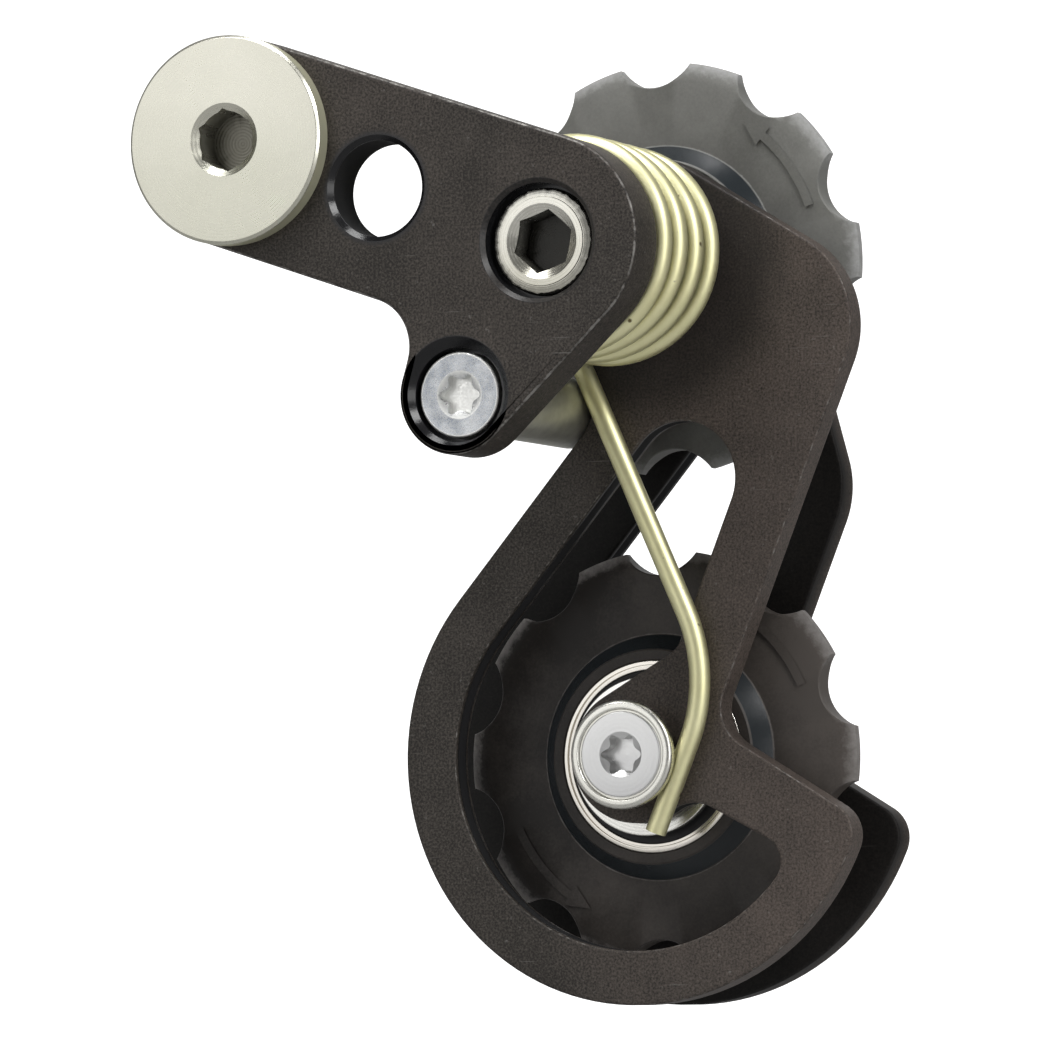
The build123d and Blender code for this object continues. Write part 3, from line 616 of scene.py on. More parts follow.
# the axle socket's painted shade is near black
axleLook = {"rings": 0.22, "groove": 0.12, "paintedShade": rgb(0.010, 0.009, 0.006)}
screwLook = {"rings": 0.4, "groove": 0.08, "speck": 2600}
nickel = plated("satinNickel", rgb(0.70, 0.685, 0.60), rgb(0.54, 0.535, 0.45), 0.24, bolt, floor=0.12)
axleSteel = plated("axleSteel", rgb(0.80, 0.785, 0.72), rgb(0.42, 0.405, 0.34), 0.20, pivot, **axleLook)
collarSteel = plated("collarSteel", rgb(0.84, 0.83, 0.77), rgb(0.64, 0.63, 0.58), 0.24, lower)
spacerSteel = plated("spacerSteel", rgb(0.90, 0.89, 0.85), rgb(0.74, 0.73, 0.69), 0.20, lower)
lowerZinc = plated("lowerScrewZinc", rgb(0.74, 0.74, 0.73), rgb(0.58, 0.58, 0.58), 0.28, lower, **screwLook)
raceSteel = plated("raceSteel", rgb(0.76, 0.73, 0.67), rgb(0.58, 0.55, 0.50), 0.16, lower)

pinSteel = material("groundPinSteel", plain(rgb(0.78, 0.78, 0.71), rgb(0.50, 0.50, 0.45), 0.42), **metal)
stopZinc = material("speckledZinc", speckledZinc, **metal)
yellowWire = material("yellowZincWire", springWire, **metal)
upperShades = (rgb(0.106, 0.105, 0.097), rgb(0.203, 0.203, 0.189), rgb(0.36, 0.36, 0.355))
lowerShades = (rgb(0.014, 0.0115, 0.010), rgb(0.080, 0.069, 0.061), rgb(0.24, 0.225, 0.215))
upperPlastic = material("upperPulleyPlastic", pulleyPlastic(*upperShades, pivot), **dull)
# the lower wheel gets painted light, lighter on its +X side
lowerPlastic = material("lowerPulleyPlastic", pulleyPlastic(*lowerShades, lower, paintedSideLight=30), **dull)
guidePlastic = material("guidePlastic", plain(rgb(0.020, 0.020, 0.020), rgb(0.010, 0.010, 0.010), 0.45))
sealRubber = material("sealRubber", plain(rgb(0.014, 0.012, 0.014), rgb(0.006, 0.006, 0.007), 0.55))
clipSteel = material("clipSteel", plain(rgb(0.16, 0.15, 0.14), rgb(0.09, 0.09, 0.08), 0.35), **metal)
nylon = material("retainerNylon", plain(rgb(0.46, 0.40, 0.26), rgb(0.34, 0.30, 0.20), 0.45))
steel = material("bearingSteel", plain(rgb(0.70, 0.70, 0.69), rgb(0.58, 0.58, 0.57), 0.14), **metal)
print("materials:", len(bpy.data.materials))


def placed(piece, body, slot, *nodes):  # the piece rides on its body and stands for these nodes
    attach(piece, body)
    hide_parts(*nodes)


# hanger arm
arm = {
    "endR": 9.4,
    "lobeR": 5.35,
    "lobeFillet": 4.5,
    "edge": 0.3,
    "fade": 0.5,
    "holeReach": 14.9,
    "holeR": 4.3,
    "holeEdge": 0.45,
    "holeShadeFrom": 1.3,
    "boltHoleR": 5.04,
    "clipR": 6.0,
    "clipDepth": 1.2,
    "axlePocketR": 5.12,
    "axlePocketEdge": 0.38,
    "axlePocketFade": 0.1,
    "axlePocketDepth": 2.0,
    "axleHoleR": 4.79,
    "stopPocketR": 4.2,
    "stopPocketEdge": 0.9,
    "stopPocketFade": 0.15,
    "stopPocketWall": 0.3,
    "stopPocketDepth": 3.0,
    "stopHoleR": 2.04,
}


def makeArm():
    r, lobeR = arm["endR"], arm["lobeR"]
    top = tangentPoints(bolt, r, pivot, r)
    low = tangentPoints(bolt, -r, pivot, -r)
    lobeFront = tangentPoints(pivot, r, stop, lobeR)
    lobeRear = tangentPoints(pivot, -r, stop, -lobeR)
    corner = crossing(low[0], low[1] - low[0], lobeRear[0], lobeRear[1] - lobeRear[0])
    outline = arc(bolt, r, top[0], low[0]) + knee(low[0], corner, lobeRear[1], arm["lobeFillet"])
    outline += arc(stop, lobeR, lobeRear[1], lobeFront[1]) + arc(pivot, r, lobeFront[0], top[1])
    edge, fade = arm["edge"], arm["fade"]
    rim = softEdge(armFront, 1, edge, fade) + softEdge(armBack, -1, edge, fade)

    hole = towards(bolt, pivot, arm["holeReach"])
    edge = arm["holeEdge"]
    holeRows = [
        (edge + fade, armFront, 0),
        (edge, armFront, glossy),
        (0, armFront + edge, glossy),
        # the hole's wall below its chamfer has painted shade, dark and matt
        (0, armFront + arm["holeShadeFrom"] * edge, shadedWall),
        (0, armBack - edge, shadedWall),
        (edge, armBack, 0),
        (edge + fade, armBack, 0),
    ]
    wide, floor = arm["clipR"] - arm["boltHoleR"], armBack - arm["clipDepth"]
    boltRows = [(0, armFront, 0), (0, floor, 0), (wide, floor, 0), (wide, armBack, 0)]
    wide, floor = arm["axlePocketR"] - arm["axleHoleR"], armFront + arm["axlePocketDepth"]
    edge, fade = arm["axlePocketEdge"], arm["axlePocketFade"]
    axleRows = [
        (wide + edge + fade, armFront, 0),
        (wide + edge, armFront, halfGlossy),
        (wide, armFront + edge, halfGlossy),
        (wide, armFront + edge + fade, glossy),
        (wide, floor, glossy),
        (0, floor, glossy),
        (0, armBack, 0),
    ]
    wide, floor = arm["stopPocketR"] - arm["stopHoleR"], armFront + arm["stopPocketDepth"]
    edge, fade = arm["stopPocketEdge"], arm["stopPocketFade"]
    stopRows = [
        (wide + edge + fade, armFront, 0),
        (wide + edge, armFront, glossy),
        (wide, armFront + edge, glossy),
        (wide, armFront + edge + arm["stopPocketWall"], glossy),
        (wide, floor, glossy),
        (0, floor, glossy),
        (0, armBack, 0),
    ]
    loops = [
        (outline, rim),
        (circle(hole, arm["holeR"]), holeRows),
        (circle(bolt, arm["boltHoleR"]), boltRows),
        (circle(pivot, arm["axleHoleR"]), axleRows),
        (circle(stop, arm["stopHoleR"]), stopRows),
    ]
    placed(platePiece("armPlate", loops, black), "arm", "black_anodised", "hanger_arm")


makeArm()
print("arm done")

# hanger bolt: wide head, drilled and broached socket, fine thread
hanger = {
    "r": 9.39,
    "edge": 0.25,
    "edgeRounds": (0.1, 0.05),
    "edgeBand": 0.1,
    "rawWall": 0.9,
    "flats": 5.0,
    "turn": 36.0,
    "drillR": 2.62,
    "drill": 0.5,
    "depth": 3.5,
    "mouthR": 3.3,
    "mouthSlope": 0.75,
    "mouthLand": 0.5,
    # painted shade in the socket
    "socketShade": 0.85,
    "shankR": 5.0,
    "grooveR": 4.4,
    "pitch": 1.0,
    "threadFrom": 0.1,
    "threadDepth": 0.5,
    "tip": 0.6,
    "steps": 180,
}
socketFloor, socketWall, socketWallShade = 0.93, 0.4, 0.7  # shares of the width, the depth and the painted shade


def socketRows(face, rule, form):  # blind socket with a countersunk mouth and, where the form gives it, painted shade on its floor and lower wall
    floor = face + form["depth"]
    socketShade = -form.get("socketShade", 0.0)
    mouth = lambda angle: face + (form["mouthR"] - rule(angle)) * form["mouthSlope"]
    return [
        (floor + form.get("drill", 0.0), 0, socketShade),
        (floor, lambda angle: rule(angle) * socketFloor, socketShade),
        (floor, rule, socketShade),
        (lambda angle: (1 - socketWall) * mouth(angle) + socketWall * floor, rule, socketWallShade * socketShade),
        (mouth, rule),
        (face, form["mouthR"]),
    ]


def makeBolt():
    face, end = depthsOf("hanger_bolt")
    clipFront, clipBack = depthsOf("bolt_clip")
    r, shankR, grooveR = hanger["r"], hanger["shankR"], hanger["grooveR"]
    hexagon = hexRule(hanger["flats"], hanger["turn"])
    rows = socketRows(face, lambda angle: max(hexagon(angle), hanger["drillR"]), hanger)
    edge, band = face + hanger["edge"], face + hanger["edge"] + hanger["edgeBand"]
    rows += softened(
        (face, hanger["mouthR"] + hanger["mouthLand"]),
        (face, r - hanger["edge"], hanger["edgeRounds"][0]),
        (edge, r, hanger["edgeRounds"][1]),
        (band, r),
    )[:-1]
    rows += [(band, r, hanger["rawWall"]), (armFront, r, hanger["rawWall"]), (armFront, shankR)]
    rows += [(clipFront, shankR), (clipFront, grooveR), (clipBack, grooveR), (clipBack, shankR)]
    tip = hanger["tip"]
    rows += threadRows(hanger["threadFrom"], end - tip, shankR, hanger["pitch"], hanger["threadDepth"])
    rows += [(end, shankR - tip), (end, 0)]
    piece = turnedPiece("hangerBolt", bolt, rows, nickel, hanger["steps"], hanger["turn"])
    placed(piece, "arm", "nickel_steel", "hanger_bolt")


makeBolt()
print("bolt done")

# pivot axle, with the end of its thread in the arm's pocket
axle = {
    "r": 4.0,
    "landR": 3.92,
    "landEdge": 0.05,
    "stepEdge": 0.12,
    "step": 0.09,
    "bandR": 4.56,
    "bandDrop": 0.24,
    "burrs": ((11, 0.020), (23, 0.022), (37, 0.018), (53, 0.014)),  # waves round the rim, and their heights
    "burrTurn": 70,
    "lead": 0.18,
    "leadDrop": 0.05,
    "leadBurr": 0.9,
    "threadR": 4.75,
    "threadFrom": 0.3,
    "pitch": 0.75,
    "threadDepth": 0.38,
    "flats": 5.0,
    "turn": 19.0,
    "depth": 3.0,
    "drill": 0.5,
    "mouthR": 3.35,
    "mouthSlope": 0.6,
    # painted shade in the socket
    "socketShade": 1.0,
    "steps": 240,
}


def makeAxle():
    face, end = depthsOf("pivot_axle")
    rows = socketRows(face, hexRule(axle["flats"], axle["turn"]), axle)

    def burr(angle):
        return sum(size * sin(radians(count * (angle + axle["burrTurn"]))) for count, size in axle["burrs"])

    step, drop = face + axle["step"], face + axle["bandDrop"]
    landR, leadR = axle["landR"], axle["threadR"] - axle["leadDrop"]
    rows += [(face, landR), (step, landR + axle["landEdge"]), (step, landR + axle["stepEdge"])]
    rows += [(drop, lambda angle: axle["bandR"] + burr(angle))]
    rows += [(drop + axle["lead"], lambda angle: leadR + burr(angle) * axle["leadBurr"])]
    thread = (axle["threadR"], axle["pitch"], axle["threadDepth"])
    rows += threadRows(drop + axle["threadFrom"], armBack, *thread, runOut=1)
    rows += [(armBack, axle["r"]), (end, axle["r"]), (end, 0)]
    piece = turnedPiece("pivotAxle", pivot, rows, axleSteel, axle["steps"], axle["turn"])
    placed(piece, "arm", "axle_steel", "pivot_axle")


makeAxle()

# stop: six-lobe screw and the pin behind it
stopScrew = {
    "r": 3.83,
    "edge": 0.22,
    "inner": 1.4,
    "outer": 1.95,
    "mouthR": 2.1,
    "mouthSlope": 0.35,
    "mouthLand": 0.1,
    "rimLand": 0.05,
    "depth": 1.1,
    "shankR": 2.0,
    "shine": (1.0, 1.0, 0.8, 0.5, 0.4, 0.9),
    "rimShine": 0.9,
    "pinR": 3.2,
    "pinEdges": (0.15, 0.4),
    "pinHoleR": 2.04,
    "pinHoleTip": 0.4,
}


def makeStop():
    face, end = depthsOf("stop_screw")
    seat = armFront + arm["stopPocketDepth"]
    r, edge, shankR = stopScrew["r"], stopScrew["edge"], stopScrew["shankR"]
    rows = socketRows(face, lobeRule(stopScrew["inner"], stopScrew["outer"]), stopScrew)
    rows = [(*row[:2], shine) for row, shine in zip(rows, stopScrew["shine"])]
    rows += [(face, stopScrew["mouthR"] + stopScrew["mouthLand"]), (face, r - edge - stopScrew["rimLand"])]
    rim = softened((face, 0), (face, r, edge), (seat, r))[1:]
    rows += [(*row, stopScrew["rimShine"]) for row in rim]
    rows += [(seat, shankR), (end, shankR), (end, 0)]
    placed(turnedPiece("stopScrew", stop, rows, stopZinc), "arm", "zinc_steel", "stop_screw")

    front, back = depthsOf("stop_pin")
    pinR, holeR, holeEnd = stopScrew["pinR"], stopScrew["pinHoleR"], end + stopScrew["pinHoleTip"]
    frontEdge, backEdge = stopScrew["pinEdges"]
    rows = softened((front, holeR), (front, pinR, frontEdge), (back, pinR, backEdge), (back, 0))
    rows += [(holeEnd, 0), (holeEnd, holeR)]
    placed(turnedPiece("stopPin", stop, rows, pinSteel, closed=True), "arm", "pin_steel", "stop_pin")


makeStop()

# washer screw at the axle's far end
endScrew = {
    "r": 4.4,
    "dome": 1.0,
    "seatEdge": 0.1,
    "flats": 3.0,
    "depth": 1.5,
    "mouthR": 1.95,
    "mouthSlope": 0.7,
    "mouthLand": 0.3,
    "shankR": 2.5,
}


def makeEndScrew():
    start, face = depthsOf("end_screw")
    seat = depthsOf("end_washer")[1]
    rule = hexRule(endScrew["flats"], 0)
    mouthR, floor = endScrew["mouthR"], face - endScrew["depth"]
    mouth = lambda angle: face - (mouthR - rule(angle)) * endScrew["mouthSlope"]
    rows = [(floor, 0), (floor, rule), (mouth, rule), (face, mouthR)]
    rows += softened(
        (face, mouthR + endScrew["mouthLand"]),
        (face, endScrew["r"], endScrew["dome"]),
        (seat, endScrew["r"], endScrew["seatEdge"]),
        (seat, endScrew["shankR"]),
        (start, endScrew["shankR"]),
        (start, 0),
    )
    placed(turnedPiece("endScrew", pivot, rows, axleSteel), "arm", "zinc_steel", "end_screw")


makeEndScrew()
print("axle, stop and end screw done")

# cage plates: the same ring, strip, leg and hook, with a longer front corner on the outer one
cage = {
    "ringR": 22.5,
    "stripWidth": 4.9,
    "innerRise": 0.75,
    "pivotBossR": 9.7,
    "lowerBossR": 6.1,
    "lobeR": 8.95,
    "outerLobeReach": 40.2,
    "innerLobeReach": 25.5,
    "legAngle": 68.5,
    "legWidth": 5.7,
    "hookAngle": -31.0,
    "braceAngle": 30.5,
    "tongueAngle": -27.5,
    "tongueDrop": 0.75,
    "stopR": 3.3,
    "tipFillet": 3.1,
    "notchFillet": 3.8,
    "neckFillet": 6.0,
    "windowTop": 5.25,
    "windowLeg": 2.5,
    "windowBoss": 4.0,
    "windowPocket": 2.4,
    "edge": 0.2,
    "fade": 0.5,
    "sleeveR": 5.04,
    "screwR": 2.01,
}


def plateLoops(lobeReach, front, back, rise=0.0):
    ringR, bossR, lobeR, pivotR = cage["ringR"], cage["lowerBossR"], cage["lobeR"], cage["pivotBossR"]
    neckR, tipR = cage["neckFillet"], cage["tipFillet"]
    rootR, pocketR = cage["windowBoss"], cage["windowPocket"]
    windowR = ringR - cage["stripWidth"] - rise
    legWay = unit(cage["legAngle"])
    legSide = -leftOf(legWay)
    hookWay = unit(cage["hookAngle"])
    hookUp = leftOf(hookWay)
    stripStart, stripRest = tangentPoints(lower, ringR, stop, -cage["stopR"])
    stripWay = (stripRest - stripStart).normalized()
    stripSide = leftOf(stripWay)

    neck = onCircle(pivot, pivotR + neckR, stripStart + stripSide * neckR, stripWay, -1)
    neckOnBoss = towards(pivot, neck, pivotR)
    neckOnStrip = neck - stripSide * neckR
    tip = onCircle(lower, ringR - tipR, lower + hookUp * (bossR - tipR), hookWay, 1)
    tipOnRing = towards(lower, tip, ringR)
    tipOnHook = tip + hookUp * tipR
    notch = crossing(lower + legSide * bossR, legWay, lower + hookUp * bossR, hookWay)
    lobe = lower + legWay * lobeReach + legSide * (bossR - lobeR)
    lobeEnd = lobe + legSide * lobeR
    topStart, topEnd = tangentPoints(pivot, pivotR, lobe, lobeR)
    outline = arc(neck, neckR, neckOnBoss, neckOnStrip, -1)
    outline += arc(lower, ringR, stripStart, tipOnRing) + arc(tip, tipR, tipOnRing, tipOnHook)
    outline += knee(tipOnHook, notch, lobeEnd, cage["notchFillet"])
    outline += arc(lobe, lobeR, lobeEnd, topEnd) + arc(pivot, pivotR, topStart, neckOnBoss)[:-1]

    windowAt = lower + stripSide * rise
    start = windowAt + stripSide * windowR
    legInner = lower + legSide * (bossR - cage["legWidth"])
    top = crossing(start, stripWay, legInner, legWay)
    braceWay = unit(cage["braceAngle"])
    braceEnd = lower + leftOf(braceWay) * bossR
    brace = crossing(braceEnd, braceWay, legInner, legWay)
    tongueWay = unit(cage["tongueAngle"])
    tongueUp = leftOf(tongueWay)
    tongueBase = lower - tongueUp * cage["tongueDrop"]
    root = onCircle(lower, bossR + rootR, tongueBase - tongueUp * rootR, tongueWay, 1)
    rootOnBoss = towards(lower, root, bossR)
    rootOnTongue = root + tongueUp * rootR
    pocket = onCircle(windowAt, windowR - pocketR, tongueBase - tongueUp * pocketR, tongueWay, 1)
    pocketOnTongue = pocket + tongueUp * pocketR
    pocketOnRing = towards(windowAt, pocket, windowR)
    window = knee(start, top, brace, cage["windowTop"]) + knee(top, brace, braceEnd, cage["windowLeg"])
    window += arc(lower, bossR, braceEnd, rootOnBoss) + arc(root, rootR, rootOnBoss, rootOnTongue, -1)[1:]
    window += arc(pocket, pocketR, pocketOnTongue, pocketOnRing, -1)
    window += arc(windowAt, windowR, pocketOnRing, start, -1)[1:]

    edge, fade = cage["edge"], cage["fade"]
    rim = softEdge(front, 1, edge, fade) + softEdge(back, -1, edge, fade)
    inside = []
    for grow, y, wear in rim:  # the window's wall has painted shade, dark and matt, where it isn't rubbed
        inside.append((grow, y, shadedWall if wear == 0 and grow == 0 else wear))
    bore = [(0, front, 0), (0, back, 0)]
    holes = [(circle(pivot, cage["sleeveR"]), bore), (circle(lower, cage["screwR"]), bore)]
    return [(outline, rim), (window, inside)] + holes


def makePlates():
    outer = plateLoops(cage["outerLobeReach"], outerFront, outerBack)
    inner = plateLoops(cage["innerLobeReach"], innerFront, innerBack, cage["innerRise"])
    outer = platePiece("outerPlate", outer, plateBlack)
    inner = platePiece("innerPlate", inner, innerBlack)
    placed(outer, "cage", "black_anodised", "outer_plate")
    placed(inner, "cage", "black_anodised", "inner_plate")


makePlates()
print("cage plates done")

# lower axle: six-lobe screw in its collar, nut behind
lowerAxle = {
    "headR": 3.9,
    "headEdge": 0.18,
    "headSunk": 0.12,
    "headWall": 0.5,
    "headEnd": 2.4,
    "headLandR": 2.4,
    "inner": 1.4,
    "outer": 1.95,
    "depth": 1.6,
    "mouthR": 2.05,
    "mouthSlope": 0.5,
    "screwR": 2.0,
    "screwPastPlate": 3.3,
    "screwTip": (0.25, 0.3),
    "flangeR": 4.93,
    "flange": 1.0,
    "flangeEdges": (0.45, 0.1),
    "neckR": 4.05,
    "neckFillet": 0.15,
    "lipR": 4.02,
    "lipDrop": 0.16,
    "lipInside": 0.1,
    "lipSlope": 0.14,
    "lipEdge": 0.12,
    "collarPlay": 0.02,
    "collarSeat": 2.5,
    "nutFlats": 7.0,
    "nutChamferR": 3.45,
    "nutSlope": 0.58,
    "nutEdge": 0.02,
    "nutHoleR": 2.05,
    "nutMouthR": 2.5,
    "nutMouth": 0.4,
}


def makeLowerAxle():
    front, end = depthsOf("lower_axle_screw")
    seat = depthsOf("spring_collar")[1]
    face = front + lowerAxle["headSunk"]
    headR, screwR = lowerAxle["headR"], lowerAxle["screwR"]
    tipRun, tipDrop = lowerAxle["screwTip"]
    rows = socketRows(face, lobeRule(lowerAxle["inner"], lowerAxle["outer"]), lowerAxle)
    rows += softened(
        (face, lowerAxle["headLandR"]),
        (face, headR, lowerAxle["headEdge"]),
        (face + lowerAxle["headWall"], headR),
        (face + lowerAxle["headEnd"], screwR),
        (innerBack + lowerAxle["screwPastPlate"], screwR),
    )
    rows += [(end - tipRun, screwR), (end, screwR - tipDrop), (end, 0)]
    placed(turnedPiece("lowerScrew", lower, rows, lowerZinc), "cage", "zinc_steel", "lower_axle_screw")

    lip, lipR = face + lowerAxle["lipDrop"], lowerAxle["lipR"]
    flangeBack, flangeR = front + lowerAxle["flange"], lowerAxle["flangeR"]
    frontEdge, backEdge = lowerAxle["flangeEdges"]
    holeR = screwR + lowerAxle["collarPlay"]
    rows = softened(
        (lip, headR - lowerAxle["lipInside"]),
        (lip, lipR),
        (front, lipR + lowerAxle["lipSlope"], lowerAxle["lipEdge"]),
        (front, flangeR, frontEdge),
        (flangeBack, flangeR, backEdge),
        (flangeBack, lowerAxle["neckR"], lowerAxle["neckFillet"]),
        (seat, lowerAxle["neckR"]),
        (seat, holeR),
        (face + lowerAxle["collarSeat"], holeR),
    )
    piece = turnedPiece("springCollar", lower, rows, collarSteel, closed=True)
    placed(piece, "cage", "turned_steel", "spring_collar")

    front, back = depthsOf("lower_axle_nut")
    hexagon = hexRule(lowerAxle["nutFlats"], 0)
    holeR, chamferR = lowerAxle["nutHoleR"], lowerAxle["nutChamferR"]
    slope = lambda angle: max(lowerAxle["nutEdge"], (hexagon(angle) - chamferR) * lowerAxle["nutSlope"])
    rows = [(front, holeR), (front, chamferR), (lambda angle: front + slope(angle), hexagon)]
    rows += [(lambda angle: back - slope(angle), hexagon), (back, chamferR)]
    rows += [(back, lowerAxle["nutMouthR"]), (back - lowerAxle["nutMouth"], holeR)]
    piece = turnedPiece("lowerNut", lower, rows, lowerZinc, closed=True)
    placed(piece, "cage", "zinc_steel", "lower_axle_nut")


makeLowerAxle()

# cap washers beside the bearings
spacer = {
    "r": 7.2,
    "cap": 1.0,
    "foot": 1.4,
    "edges": (0.1, 0.2),
    "play": 0.01,
    "shaftR": {"upper": 5.03, "lower": 3.0},
}


def makeSpacer(wheel, axis, side, way):
    node = f"{wheel}_{side}_spacer"
    wall, foot = depthsOf(node)[::way]
    shaftR, capEnd = spacer["shaftR"][wheel], wall + way * spacer["cap"]
    wallEdge, capEdge = spacer["edges"]
    rows = softened(
        (wall, shaftR + spacer["play"]),
        (wall, spacer["r"], wallEdge),
        (capEnd, spacer["r"], capEdge),
        (capEnd, shaftR + spacer["foot"]),
        (foot, shaftR + spacer["foot"]),
        (foot, shaftR + spacer["play"]),
    )
    piece = turnedPiece(f"{wheel}{side.title()}Spacer", axis, rows, spacerSteel, closed=True)
    placed(piece, "cage", "turned_steel", node)


for wheel, axis in (("upper", pivot), ("lower", lower)):
    makeSpacer(wheel, axis, "outer", 1)
    makeSpacer(wheel, axis, "inner", -1)
print("lower axle done")


# geometry nodes: a wire swept along a curve, and a piece repeated round an axis
def newTree(name, inputs):
    tree = bpy.data.node_groups.new(name, "GeometryNodeTree")
    tree.interface.new_socket("Geometry", in_out="INPUT", socket_type="NodeSocketGeometry")
    for label, kind in inputs.items():
        tree.interface.new_socket(label, in_out="INPUT", socket_type=kind)
    tree.interface.new_socket("Geometry", in_out="OUTPUT", socket_type="NodeSocketGeometry")
    sheet = Sheet(tree)
    return tree, sheet, sheet.node("NodeGroupInput")


def closeTree(sheet, geometry, entry):
    real = sheet.node("GeometryNodeRealizeInstances", {}, {"Geometry": geometry})
    sockets = {"Geometry": real, "Material": entry.output("Material")}
    dressed = sheet.node("GeometryNodeSetMaterial", {}, sockets)
    sheet.node("NodeGroupOutput", {}, {"Geometry": dressed})


def sweptWire():
    inputs = {"Wire Radius": "NodeSocketFloat", "Sides": "NodeSocketInt", "Material": "NodeSocketMaterial"}
    tree, sheet, entry = newTree("sweptWire", inputs)
    sockets = {"Resolution": entry.output("Sides"), "Radius": entry.output("Wire Radius")}
    section = sheet.node("GeometryNodeCurvePrimitiveCircle", {}, sockets)
    sockets = {"Curve": entry, "Profile Curve": section, "Fill Caps": True}
    closeTree(sheet, sheet.node("GeometryNodeCurveToMesh", {}, sockets), entry)
    return tree


def roundArray(merge=2e-6):
    inputs = {"Count": "NodeSocketInt", "Axis Place": "NodeSocketVector", "Material": "NodeSocketMaterial"}
    tree, sheet, entry = newTree("roundArray", inputs)
    count, place = entry.output("Count"), entry.output("Axis Place")
    away = sheet.node("ShaderNodeVectorMath", {"operation": "SCALE"}, {0: place, "Scale": -1.0})
    centred = sheet.node("GeometryNodeTransform", {}, {"Geometry": entry, "Translation": away})
    spots = sheet.node("GeometryNodePoints", {}, {"Count": count, "Position": place})
    share = sheet.node("GeometryNodeInputIndex") * (2 * pi)
    share = share.sum("DIVIDE", share, count)
    spin = sheet.node("ShaderNodeCombineXYZ", {}, {"Y": share})
    sockets = {"Points": spots, "Instance": centred, "Rotation": spin}
    copies = sheet.node("GeometryNodeInstanceOnPoints", {}, sockets)
    real = sheet.node("GeometryNodeRealizeInstances", {}, {"Geometry": copies})
    joined = sheet.node("GeometryNodeMergeByDistance", {}, {"Geometry": real, "Distance": merge})
    closeTree(sheet, joined, entry)
    return tree


def grown(source, tree, name, **values):  # the tree's result as a plain mesh object
    change = source.modifiers.new("grow", "NODES")
    change.node_group = tree
    for item in tree.interface.items_tree:
        if item.in_out == "INPUT" and item.name in values:
            change[item.identifier] = values[item.name]
    bpy.context.view_layer.update()
    data = bpy.data.meshes.new_from_object(source.evaluated_get(bpy.context.evaluated_depsgraph_get()))
    data.name = name
    source.modifiers.remove(change)
    bpy.data.objects.remove(source)
    data.shade_smooth()
    data.set_sharp_from_angle(angle=radians(plateSharp))
    return linked(name, data)


wireTree = sweptWire()
arrayTree = roundArray()

# torsion spring: tang in the arm, open coils that start flat, long leg held by the collar
spring = {
    "wireR": 0.95,
    "sides": 28,
    "coilR": 9.05,
    "drift": Vector((0.1, 0.1)),
    "start": -160.0,
    "turn": 1435.0,
    "step": 5,
    "flat": 150.0,
    "ease": 60,
    "pitch": 3.72,
    "level": 1.22,
    "tangRun": 3.0,
    "tangDepth": 2.6,
    "tangBend": 1.2,
    "legLevel": 16.5,
    "legStart": Vector((-6.2, -6.6)),
    "lead": 1.6,
    "lean": -112.0,
    "knee": 9.5,
    "tail": 5.5,
    "play": 0.01,
    "bends": (2.5, 5.0, 15.0),
}


def springPath():
    def deep(point, y):
        return Vector((point.x, y, point.y))

    def rise(gone):  # nothing at first, then the pitch, with a soft change between them
        past, ease = gone - spring["flat"], spring["ease"]
        return (past + sqrt(past**2 + ease**2)) / 2

    coilAt = pivot + spring["drift"]
    coil = []
    steps = int(spring["turn"] / spring["step"])
    for i in range(steps + 1):
        gone = spring["turn"] * i / steps
        spot = coilAt + unit(spring["start"] + gone) * spring["coilR"]
        coil.append(deep(spot, spring["level"] + spring["pitch"] * (rise(gone) - rise(0)) / 360))
    wayIn = (coil[1] - coil[0]).normalized()
    wayOut = (coil[-1] - coil[-2]).normalized()
    tangKnee = coil[0] - wayIn * spring["tangRun"]
    tangEnd = Vector((tangKnee.x, -spring["tangDepth"], tangKnee.z))
    down = unit(spring["lean"])
    touch = lower + leftOf(down) * (lowerAxle["neckR"] + spring["play"] + spring["wireR"])
    legStart = deep(pivot + spring["legStart"], spring["legLevel"])
    legKnee = deep(touch - down * spring["knee"], spring["legLevel"])
    legEnd = deep(touch + down * spring["tail"], spring["legLevel"])
    leadEnd = coil[-1] + wayOut * spring["lead"]
    path = [tangEnd] + knee(tangEnd, tangKnee, coil[0], spring["tangBend"]) + coil
    path += knee(coil[-1], leadEnd, legStart, spring["bends"][0])
    path += knee(leadEnd, legStart, legKnee, spring["bends"][1])
    path += knee(legStart, legKnee, legEnd, spring["bends"][2]) + [legEnd]
    return path, coil[0].y, coil[-1].y


def makeSpring():
    path, first, last = springPath()
    curve = bpy.data.curves.new("springPath", "CURVE")
    curve.dimensions = "3D"
    line = curve.splines.new("POLY")
    line.points.add(len(path) - 1)
    for point, spot in zip(line.points, path):
        point.co = (*(spot * mm), 1.0)
    values = {"Wire Radius": spring["wireR"] * mm, "Sides": spring["sides"], "Material": yellowWire}
    piece = grown(linked("springPath", curve), wireTree, "torsionSpring", **values)
    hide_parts("torsion_spring")
    spot = Vector((pivot.x, 0, pivot.y))
    ends = [(spot + Vector((0, y, 0))) * mm for y in (first, last)]
    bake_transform(piece, "arm", "cage", start=ends[0], end=ends[1])


makeSpring()
print("spring done")

